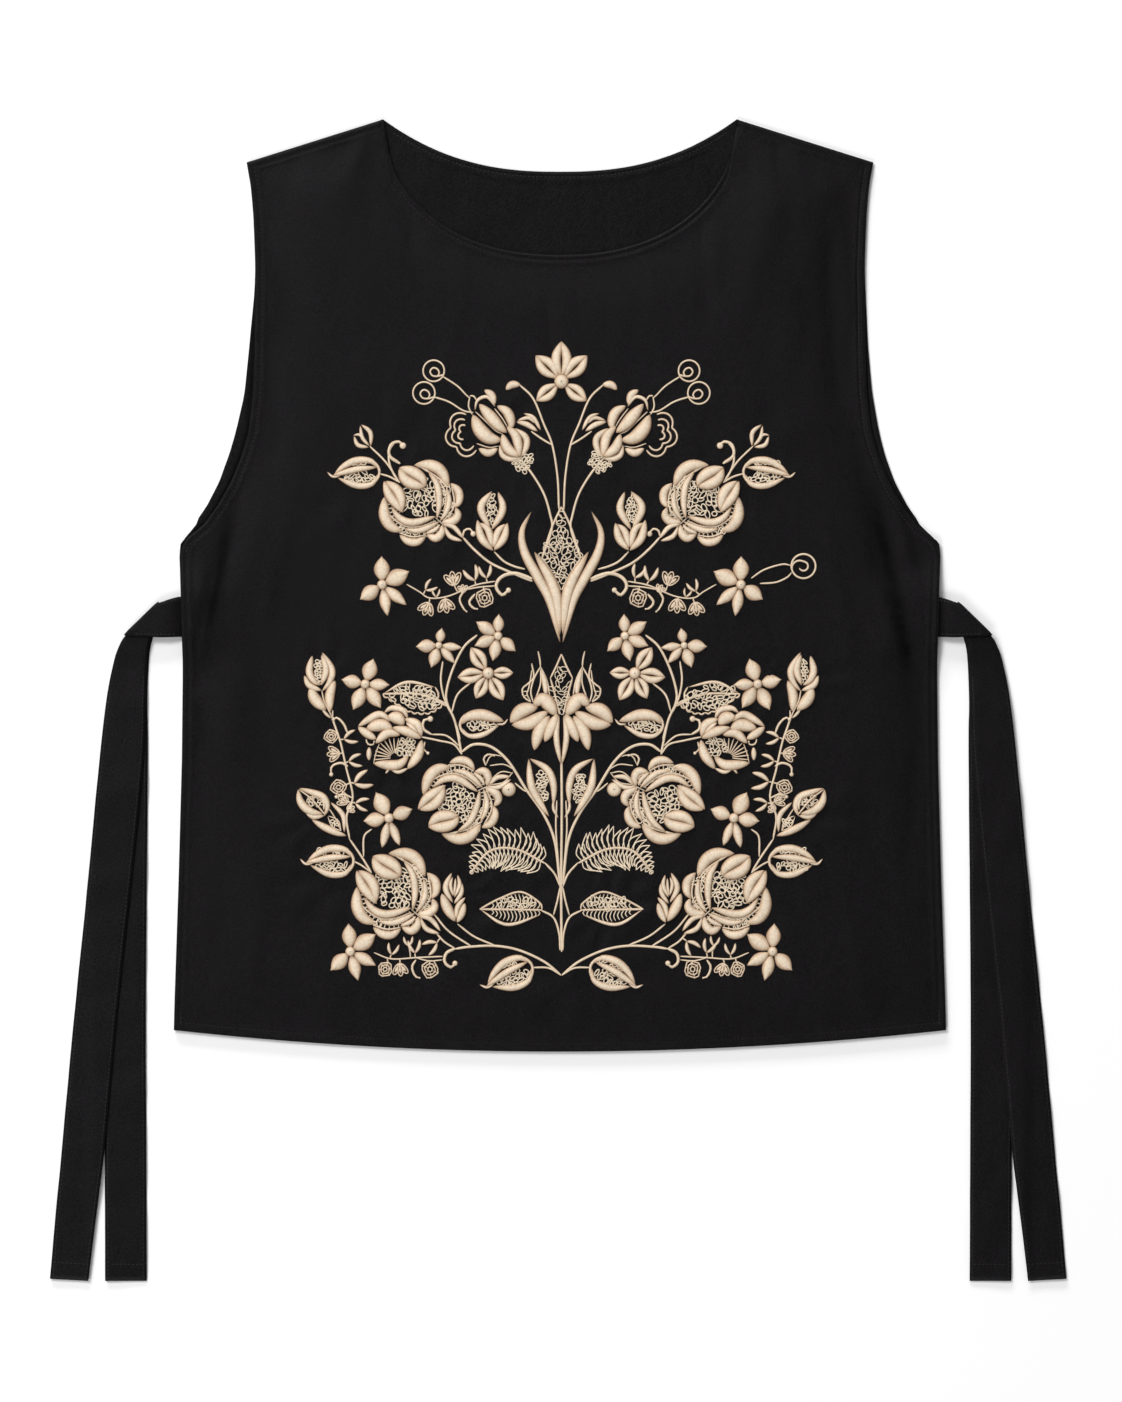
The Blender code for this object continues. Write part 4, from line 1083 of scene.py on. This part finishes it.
# Every motif, one piece for each padded solid, and the fine sewing between them
def addEmbroidery(materials):
    made = []
    for side, word in ((1.0, "_right"), (-1.0, "_left")):
        for solid, *rest in halfFlowers:
            made += addMotif(solid + word, *rest, side, materials)
        for name, out, up, core in blossomSpots:
            made += addBlossom(name + word, name, out, up, core, side, materials)
        batch = newBatch()
        for width, layer, count, *points in tulipLeaves:
            addPad(batch, pairs(points), width, side, layer, blunt=0.7, count=count)
        made += finishMotif("tulip_leaf" + word, batch, None, materials)
    made += addBlossom("crown_blossom", "crown_blossom", 0.0, 318.0, 6.6, 1.0, materials)
    heart = newBatch()
    lace = newBatch()
    fillLace(lace, 1.0, 0.0, 152.0, 21.5, 42.5, 6.0, cord=1.05, kite=True)
    for side in (1.0, -1.0):
        for width, *points in heartLines:
            addStem(heart, pairs(points), width, side)
    made += finishMotif("tulip_heart", heart, lace, materials)
    iris = newBatch()
    net = newBatch()
    fillLace(net, 1.0, 0.0, 13.0, 13.5, 35.0, 5.6, cord=0.85, kite=True)
    for side in (1.0, -1.0):
        for width, layer, *points in irisPetals:
            addPad(iris, pairs(points), width, side, layer)
        for width, *points in irisLines:
            addStem(iris, pairs(points), width, side)
    made += finishMotif("iris", iris, net, materials)
    return made + addFineSewing(materials)


def addFineSewing(materials):
    lines = newBatch()
    sprigs = newBatch()
    discs = newBatch()
    for side in (1.0, -1.0):
        for width, taper, *points in stems:
            addStem(lines, pairs(points), 0.88 * width, side, taper)
        for width, dot, *points in curls:
            addStem(lines, pairs(points), width, side, 0.8, tall=0.7)
            addDot(lines, *points[-2:], dot * 0.85, side, 0.8)
        for out, up, radius in ringCurls:
            addStem(lines, ringPoints(out, up, radius, radius, 0.0, 26), 1.9, side, closed=True)
            loop = placed(pairs(ringLoop), out, up, radius, way=1.0)
            addStem(lines, loop, 1.9, side, count=30)
        addDot(lines, *stemDot, side, 1.2)
        for width, *points in smallPads:
            addPad(sprigs, pairs(points), width, side, count=10)
        for bud in sprigBuds:
            addSprigBud(sprigs, *bud, side)
        fillLace(discs, side, *laceDisc, 3.9)
    addStem(lines, pairs(middleStem), 2.8, 1.0)
    for points in tendril:
        addStem(lines, pairs(points), 1.9, 1.0)
    addSpiral(lines, *rightSpiral)
    return [
        makePiece("stemStitchLines", lines, materials["stem"]),
        makePiece("sprigs", sprigs, materials["padded"]),
        makePiece("laceDiscs", discs, materials["lace"]),
    ]


# A ring that winds in to a small loop, from an angle in degrees
def addSpiral(batch, out, up, radius, angle):
    turn = np.linspace(0.0, 4.0 * math.pi, 40)
    inner = smooth((turn - 2.0 * math.pi) / 2.2)
    reach = radius * 0.93 * np.where(turn < 2.0 * math.pi, 1.0, 1.0 - 0.62 * inner)
    turn = math.radians(angle) - turn
    line = np.column_stack([out + reach * np.cos(turn), up + reach * np.sin(turn)])
    addStem(batch, line, 2.2, 1.0, 0.9, count=64)


# A thin closed sheet of cloth from its plan, its top and its underside
def addShell(batch, plan, top, under, shade=None):
    upper = np.concatenate([plan, top.reshape(*plan.shape[:2], 1)], axis=2)
    lower = np.concatenate([plan, under.reshape(*plan.shape[:2], 1)], axis=2)
    addGrid(batch, upper, shade, plan)
    addGrid(batch, lower[:, ::-1], uv=plan[:, ::-1], faceUp=False)
    for above, below in (
        (upper[0], lower[0]), (upper[-1][::-1], lower[-1][::-1]),
        (upper[::-1, 0], lower[::-1, 0]), (upper[:, -1], lower[:, -1]),
    ):
        wall = np.stack([below, above], axis=1)
        addGrid(batch, wall, uv=wall[:, :, :2], faceUp=False)


# Turned-in hem: a raised band, rounded at the edge and pulled down along its seam
def hemForm(inside, stitch):
    band = garment["hemRise"] * (1.0 - smooth((inside - garment["hemBand"] + 1.5) / 3.0))
    seam = garment["seamDeep"] * bell(inside - stitch, garment["seamWide"])
    bead = garment["beadRise"] * bell(inside - garment["beadIn"], garment["beadWide"])
    roundOff = garment["roundDeep"] * (1.0 - np.clip(inside / garment["roundIn"], 0.0, 1.0)) ** 2
    return band - seam + bead - roundOff


# Distance of the seam from the edge, by which edge is near
def stitchReach(plan):
    high = smooth((plan[:, 1] - 96.0) / 12.0)
    low = smooth((-200.0 - plan[:, 1]) / 10.0)
    neck = smooth((118.0 - np.abs(plan[:, 0])) / 10.0) * smooth((plan[:, 1] - 240.0) / 20.0)
    side = stitching["side"] + (stitching["armhole"] - stitching["side"]) * high
    side = side + (stitching["hem"] - side) * low
    return side + (stitching["neck"] - side) * neck


# A panel's grid, closer next to its edges, where the hem takes its form
def panelPlan(neck, close, columns, rows):
    turn = 0.5 - 0.5 * garment["neckHalf"] / garment["shoulderTip"][0]
    columns = denseStops(0.022, close, (turn, 1.0 - turn), columns)
    rows = denseStops(0.018, close, (0.5,), rows)
    plan = panelGrid(columns, rows, neck)
    return plan, plan.reshape(-1, 2)


def addPanels(materials):
    plan, flat = panelPlan("frontNeck", 12, 168, 212)
    top, inside = frontTopAt(flat)
    under = top - garment["frontWall"]
    top = np.maximum(top + hemForm(inside, stitchReach(flat)), under + 0.25)
    batch = newBatch()
    addShell(batch, plan, top, under, creaseShade(flat))
    front = makePiece("frontPanel", batch, materials["front"], "front_panel", True)
    plan, flat = panelPlan("backNeck", 10, 110, 130)
    out = np.abs(flat[:, 0])
    inside = reachTo(flat, backOutline)
    shown = (1.0 - smooth((out - 88.0) / 14.0)) * smooth((flat[:, 1] - 300.0) / 20.0)
    form = hemForm(inside, stitching["backNeck"])
    form = np.where(form > 0.0, form * shown, form * np.maximum(shown, 0.5))
    seen = np.where(flat[:, 0] < 0.0, backShown(flat[:, 1], 1), backShown(flat[:, 1], 2))
    dip = smooth((inside - seen + 2.6) / 2.4) * smooth((seen - 0.8) / 2.0) * (out > 170.0)
    top = np.maximum(garment["backWall"] + form - dip, 0.3)
    batch = newBatch()
    addShell(batch, plan, top, np.zeros(len(flat)))
    back = makePiece("backPanel", batch, materials["inside"], "back_panel", True)
    return front, back


def secondEdgeOfLower(up):
    rows = np.array([row[1:] for row in lowerTie if row[0] == "down"])[::-1]
    return np.interp(up, rows[:, 3], rows[:, 2])


def upperTieMid(part, out, up):
    if part == "across":
        return 3.85 + 1.65 * smooth((out - 250.0) / 10.0)
    onLower = 2.15 + 1.65 * smooth((up - 22.0) / 18.0)
    off = smooth((out - secondEdgeOfLower(up) - 6.0) / 9.0) * smooth((-60.0 - up) / 60.0)
    return onLower + (0.6 - onLower) * off


def lowerTieMid(part, out, up):
    return np.full(np.shape(out), 2.3 if part == "across" else 0.6)


# Soft unevenness of a tie that has been tied before, the same for both of a side
def tieCrumple(out, up):
    waves = np.sin(up / 5.8 + out / 19.0) * np.sin(up / 21.0 + 1.3)
    waves = waves + 0.5 * np.sin(up / 9.7 - out / 7.0 + 2.0)
    return 0.36 * (1.5 + waves) * smooth((20.0 - up) / 24.0)


# More rows between those of the table, along smooth lines
def fineTieTable(table):
    fold = [row[0] for row in table].index("fold")
    across = curveThrough([row[1:] for row in table[: fold + 1]], 12)[:-1]
    down = curveThrough([row[1:] for row in table[fold:]], 120)[1:]
    return [*(("across", *row) for row in across), table[fold], *(("down", *row) for row in down)]


ties = {"Upper": (upperTie, upperTieMid), "Lower": (lowerTie, lowerTieMid)}


def tieShift(side):
    return garment["rightTieShift"] if side > 0 else 0.0


def addTie(level, word, side, material):
    table, midHeight = ties[level]
    wide = garment["tieWide"]
    bend = garment["tieBend"]
    share = np.linspace(0.0, 1.0, 15)
    middles = []
    ways = []
    for part, outA, upA, outB, upB in fineTieTable(table):
        line = np.outer(1.0 - share, (outA, upA)) + np.outer(share, (outB, upB))
        if part != "fold":
            mid = midHeight(part, *line.T) + (tieCrumple(*line.T) if part == "down" else 0.0)
            middles.append(np.column_stack([line, mid]))
            ways.append(np.tile([0.0, 0.0, 1.0 if part == "across" else -1.0], (len(share), 1)))
            continue
        x, y = line[-1] - line[0]
        outward = np.array([-y, x]) / math.hypot(x, y)
        middle = np.column_stack([line, midHeight("across", line[:, 0] + 40.0, line[:, 1]) - bend])
        for angle in np.linspace(0.5 * math.pi, -0.5 * math.pi, 13):
            way = np.array([*(outward * math.cos(angle)), math.sin(angle)])
            middles.append(middle + bend * way)
            ways.append(np.tile(way, (len(share), 1)))
    middles = np.array(middles)
    edge = np.minimum(share, 1.0 - share) * wide
    slim = np.where(edge < 0.6, 0.45, 1.0) - 0.16 * bell(edge - stitching["tie"], 0.8)
    reach = 0.5 * garment["tieWall"] * slim[None, :, None] * np.array(ways)
    mirror = np.array([side, 1.0, 1.0])
    place = np.array([tieShift(side), 0.0, 0.0])
    outer = (middles + reach) * mirror + place
    inner = (middles - reach) * mirror + place
    along = lengthsAlong(middles[:, 7])
    uv = np.stack(np.broadcast_arrays(share[None, :] * wide, along[:, None]), axis=2)
    loop = np.concatenate([outer, inner[:, ::-1], outer[:, :1]], axis=1)
    loopUv = np.concatenate([uv, uv[:, ::-1], uv[:, :1]], axis=1)
    # Painted shadow of the front panel's edge over the root of the tie
    shade = 0.7 * (1.0 - smooth((np.abs(loop[:, :, 0]) - 249.0) / 7.0))
    if side < 0:
        loop = loop[:, ::-1]
        loopUv = loopUv[:, ::-1]
        shade = shade[:, ::-1]
    batch = newBatch()
    addGrid(batch, loop, shade, loopUv, faceUp=False)
    for above, below, flip in ((outer[0], inner[0], False), (outer[-1], inner[-1], True)):
        cap = [below, above] if flip != (side < 0) else [above, below]
        addGrid(batch, np.stack(cap), faceUp=False)
    solid = f"tie_{level.lower()}_{word.lower()}"
    return makePiece("tie" + level + word, batch, material, solid, True)


# Short raised stitches along a path, with a small gap between them
def addStitchRow(batch, path, heights):
    run = lengthsAlong(path)
    long = stitching["long"]
    half = 0.5 * stitching["wide"] * np.array([0.5, 1.0, 1.0, 1.0, 0.5])
    rise = np.outer([-sunk, 0.16, 0.16, 0.16, -sunk], [0.0, 1.0, 0.0])
    for start in np.arange(0.4, run[-1] - long, stitching["pitch"]):
        at = start + np.linspace(0.0, long, 5)
        line = np.column_stack([np.interp(at, run, column) for column in path.T])
        plan, _ = ribbon(line, np.array([-1.0, 0.0, 1.0]), half)
        z = np.interp(at, run, heights)[:, None] + rise
        addGrid(batch, np.concatenate([plan, z[:, :, None]], axis=2))


def addTopstitching(material):
    batch = newBatch()
    hem, right, top, left = frontEdges
    neck = top[np.abs(top[:, 0]) < garment["neckHalf"] + 0.5]
    for edge, seam in ((neck, "neck"), (right, "side"), (left, "side"), (hem, "hem")):
        path = edge + stitching[seam] * sidewaysOf(edge)
        fine = curveThrough(path[::2], 900)
        fine = fine[reachTo(fine, frontOutline) > 3.5]
        height, inside = frontTopAt(fine)
        addStitchRow(batch, fine, height + hemForm(inside, stitchReach(fine)))
    edge = backEdges[2]
    edge = edge[np.abs(edge[:, 0]) < 110.0]
    path = edge + stitching["backNeck"] * sidewaysOf(edge)
    fine = curveThrough(path[::2], 300)
    addStitchRow(batch, fine, np.full(len(fine), garment["backWall"] + 0.16))
    return makePiece("topstitching", batch, material)


# Rows of stitches down both edges of a tie, and across its foot where it hangs
def sewTie(batch, rows, part, mid, side):
    first, second = (np.array([row[k : k + 2] for row in rows]) for k in (1, 3))
    across = second - first
    inward = across / np.linalg.norm(across, axis=1, keepdims=True) * stitching["tie"]
    paths = [(first + inward, 0.52), (second - inward, 0.52)]
    if part == "down":
        paths.append((first[-1] + np.outer((0.08, 0.5, 0.92), across[-1]) + np.array([0.0, 11.0]), 0.6))
    for path, proud in paths:
        height = mid(part, *path.T) + (tieCrumple(*path.T) if part == "down" else 0.0) + proud
        addStitchRow(batch, path * np.array([side, 1.0]) + np.array([tieShift(side), 0.0]), height)


def addTieStitching(material):
    batch = newBatch()
    for side in (1.0, -1.0):
        for table, mid in ties.values():
            rows = [row for row in fineTieTable(table) if row[0] == "down" and row[2] < 20.0]
            sewTie(batch, rows, "down", mid, side)
        rows = [row for row in fineTieTable(upperTie) if row[0] == "across" and row[1] > 250.0]
        sewTie(batch, rows, "across", upperTieMid, side)
    return makePiece("tieStitching", batch, material)


# A node with its settings by name. A setting that is a socket is linked. Gives one output
def addNode(tree, kind, output, settings):
    node = tree.nodes.new("ShaderNode" + kind)
    for name, value in settings.items():
        if isinstance(value, bpy.types.NodeSocket):
            tree.links.new(value, node.inputs[name])
        elif isinstance(name, int) or name in node.inputs:
            node.inputs[name].default_value = value
        else:
            setattr(node, name, value)
    return node.outputs[output]


def noise(tree, where, scale, detail, roughness=0.5):
    settings = {"Scale": scale, "Detail": detail, "Roughness": roughness, "Vector": where}
    return addNode(tree, "TexNoise", "Fac", settings)


def ribs(tree, where, scale, distortion):
    bands = {"wave_type": "BANDS", "bands_direction": "X", "Scale": scale, "Distortion": distortion}
    return addNode(tree, "TexWave", "Fac", {**bands, "Detail": 1.0, "Vector": where})


def ranged(tree, value, low, high, toLow, toHigh):
    limits = {"From Min": low, "From Max": high, "To Min": toLow, "To Max": toHigh}
    return addNode(tree, "MapRange", "Result", {**limits, "Value": value})


# The first times the second, plus the third
def mixed(tree, first, second, third=0.0):
    return addNode(tree, "Math", "Value", {"operation": "MULTIPLY_ADD", 0: first, 1: second, 2: third})


def scaled(tree, colour, amount):
    return addNode(tree, "VectorMath", "Vector", {"operation": "SCALE", 0: colour, "Scale": amount})


def bumped(tree, height, strength, distance, normal=None):
    settings = {"Strength": strength, "Distance": distance, "Height": height}
    if normal is not None:
        settings["Normal"] = normal
    return addNode(tree, "Bump", "Normal", settings)


def startMaterial(name):
    material = bpy.data.materials.new(name)
    material.use_nodes = True
    material.node_tree.nodes.clear()
    return material, material.node_tree


def finishMaterial(material, settings):
    tree = material.node_tree
    surface = addNode(tree, "BsdfPrincipled", "BSDF", settings)
    output = tree.nodes.new("ShaderNodeOutputMaterial")
    tree.links.new(surface, output.inputs["Surface"])
    return material


# Black cotton twill: a fine slanted rib, a little uneven dye and a soft dull sheen
def clothMaterial(name, hexColour, twist):
    material, tree = startMaterial(name)
    place = addNode(tree, "TexCoord", "Object", {})
    slanted = {"Rotation": (0.0, 0.0, twist), "Scale": (1000.0, 1000.0, 1000.0), "Vector": place}
    where = addNode(tree, "Mapping", "Vector", slanted)
    tall = addNode(tree, "Mapping", "Vector", {"Scale": (1000.0, 420.0, 1000.0), "Vector": place})
    slub = noise(tree, where, 0.95, 3.0, 0.6)
    weave = mixed(tree, slub, 0.7, ribs(tree, where, 0.29, 0.6))
    slack = bumped(tree, noise(tree, tall, 0.055, 4.0, 0.55), 0.72, 0.0016)
    tuft = bumped(tree, noise(tree, where, 0.62, 2.0, 0.7), 0.6, 0.0006, slack)
    bump = bumped(tree, weave, 0.35, 0.0002, tuft)
    tone = ranged(tree, noise(tree, where, 0.014, 2.0), 0.25, 0.75, 0.84, 1.16)
    speck = ranged(tree, slub, 0.3, 0.7, 0.58, 1.38)
    # Painted shade: the rim value darkens colour and reflection in the deep folds and at the ties' roots
    fold = addNode(tree, "Attribute", "Fac", {"attribute_name": "rim"})
    paintedShadeDim = mixed(tree, fold, -0.85, 1.0)
    return finishMaterial(material, {
        "Base Color": scaled(tree, linearColour(hexColour)[:3], mixed(tree, mixed(tree, tone, speck), paintedShadeDim)),
        "Specular IOR Level": mixed(tree, mixed(tree, speck, paintedShadeDim), cloth["gloss"]),
        "Roughness": cloth["roughness"],
        "Sheen Weight": cloth["sheen"],
        "Sheen Roughness": 0.45,
        "Normal": bump,
    })


# Mercerised cotton satin stitch, fine strands: crest partly painted highlight, tan edge partly thread tone,
# partly painted shade
def threadMaterial(name, crest, body, rim, streak):
    material, tree = startMaterial(name)
    place = addNode(tree, "UVMap", "UV", {"uv_map": "thread"})
    stretch = addNode(tree, "Mapping", "Vector", {"Scale": (1.0, 0.16, 1.0), "Vector": place})
    edge = addNode(tree, "Attribute", "Fac", {"attribute_name": "rim"})
    ramp = addNode(tree, "ValToRGB", "Color", {"Fac": edge})
    stops = ramp.node.color_ramp.elements
    stops[0].color = linearColour(crest)
    stops[1].color = linearColour(rim)
    stops.new(0.26).color = linearColour(body)
    tone = ranged(tree, noise(tree, stretch, 1.1, 3.0, 0.65), 0.3, 0.7, 1.0 - streak, 1.0 + streak * 0.6)
    drift = ranged(tree, noise(tree, place, 0.12, 1.0), 0.3, 0.7, 0.93, 1.05)
    strands = ribs(tree, stretch, 0.314 / thread["strand"], 0.8)
    return finishMaterial(material, {
        "Base Color": scaled(tree, ramp, mixed(tree, tone, drift)),
        "Roughness": thread["roughness"],
        "Sheen Weight": thread["sheen"],
        "Sheen Roughness": 0.4,
        "Specular IOR Level": 0.35,
        "Normal": bumped(tree, strands, 0.5, 0.00012),
    })


# Black polyester sewing thread, shinier than the cloth, a touch lighter: painted highlight for its small
# glints
def stitchMaterial():
    material, tree = startMaterial("blackSewingThread")
    grain = noise(tree, addNode(tree, "TexCoord", "Object", {}), 1500.0, 2.0)
    return finishMaterial(material, {
        "Base Color": linearColour(stitching["colour"]),
        "Roughness": 0.55,
        "Specular IOR Level": 0.2,
        "Normal": bumped(tree, grain, 0.3, 0.0001),
    })


# Plain white studio sheet
def floorMaterial():
    material, _ = startMaterial("plainWhiteFloor")
    colour = linearColour(picture["floor"])
    return finishMaterial(material, {"Base Color": colour, "Roughness": 0.9, "Specular IOR Level": 0.1})


def makeMaterials():
    crest, body, rim, lace = (thread[part] for part in ("crest", "body", "rim", "lace"))
    return {
        "front": clothMaterial("blackCottonTwill", cloth["base"], 0.8),
        # The back is a slightly darker copy of the same cotton: painted shade where it lies under the front
        "inside": clothMaterial("blackCottonInside", cloth["inside"], -0.8),
        "strip": clothMaterial("blackCottonStrip", cloth["strip"], 0.8),
        "padded": threadMaterial("paddedSatinStitch", crest, body, rim, 0.17),
        "stem": threadMaterial("stemStitch", crest, thread["stem"], rim, 0.18),
        "lace": threadMaterial("loopedNetting", lace, lace, body, 0.12),
        "stitch": stitchMaterial(),
        "floor": floorMaterial(),
    }


def addStage(material):
    size = picture["floorHalf"]
    drop = -0.05 * mm
    mesh = bpy.data.meshes.new("floor")
    corners = [(x * size, y * size, drop) for x, y in ((-1, -1), (1, -1), (1, 1), (-1, 1))]
    mesh.from_pydata(corners, [], [(0, 1, 2, 3)])
    mesh.materials.append(material)
    floor = bpy.data.objects.new("floor", mesh)
    bpy.context.scene.collection.objects.link(floor)


def addCamera():
    data = bpy.data.cameras.new("camera")
    data.sensor_fit = "VERTICAL"
    data.sensor_height = 24.0
    data.lens = 24.0 * picture["cameraUp"] / picture["frameTall"]
    data.clip_end = 20.0
    camera = bpy.data.objects.new("camera", data)
    camera.location = (*picture["centre"], picture["cameraUp"])
    bpy.context.scene.collection.objects.link(camera)
    bpy.context.scene.camera = camera


# A soft rectangle of light that looks at the middle of the garment
def addLight(name):
    power, sides, spot = picture[name]
    data = bpy.data.lights.new(name, "AREA")
    data.shape = "RECTANGLE"
    data.size, data.size_y = sides
    data.energy = power
    light = bpy.data.objects.new(name, data)
    light.location = spot
    x, y, z = spot
    light.rotation_euler = (math.atan2(math.hypot(x, y), z), 0.0, math.atan2(-y, -x) - math.pi / 2)
    bpy.context.scene.collection.objects.link(light)


def addLighting():
    scene = bpy.context.scene
    scene.world = bpy.data.worlds.new("softStudio")
    scene.world.use_nodes = True
    background = scene.world.node_tree.nodes["Background"]
    background.inputs["Color"].default_value = (1.0, 1.0, 1.0, 1.0)
    background.inputs["Strength"].default_value = picture["world"]
    for name in ("key", "rake", "fill"):
        addLight(name)
    scene.view_settings.view_transform = "Standard"
    scene.view_settings.look = "None"
    scene.view_settings.exposure = 0.0
    scene.view_settings.gamma = 1.0


frontEdges = panelEdges("frontNeck")
frontOutline = outlineOf(frontEdges)
backEdges = panelEdges("backNeck")
backOutline = outlineOf(backEdges)
chance = np.random.default_rng(21)

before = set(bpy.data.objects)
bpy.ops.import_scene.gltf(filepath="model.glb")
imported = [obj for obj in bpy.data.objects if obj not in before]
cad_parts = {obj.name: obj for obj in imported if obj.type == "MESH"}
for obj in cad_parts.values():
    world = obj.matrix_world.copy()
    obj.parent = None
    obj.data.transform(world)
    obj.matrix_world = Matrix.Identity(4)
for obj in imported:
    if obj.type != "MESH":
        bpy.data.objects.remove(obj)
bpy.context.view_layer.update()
note("frame loaded")
heightMap = makeHeightMap()
note("front surface mapped")
materials = makeMaterials()
frontPanel, backPanel = addPanels(materials)
note("panels made")
for word, side in (("Right", 1.0), ("Left", -1.0)):
    for level in ties:
        addTie(level, word, side, materials["strip"])
note("ties made")
sewnPieces = addEmbroidery(materials)
note("embroidery made")
sewnPieces.append(addTopstitching(materials["stitch"]))
addTieStitching(materials["stitch"])
note("stitching made")
addStage(materials["floor"])
addCamera()
addLighting()
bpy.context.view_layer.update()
note("sizes kept")
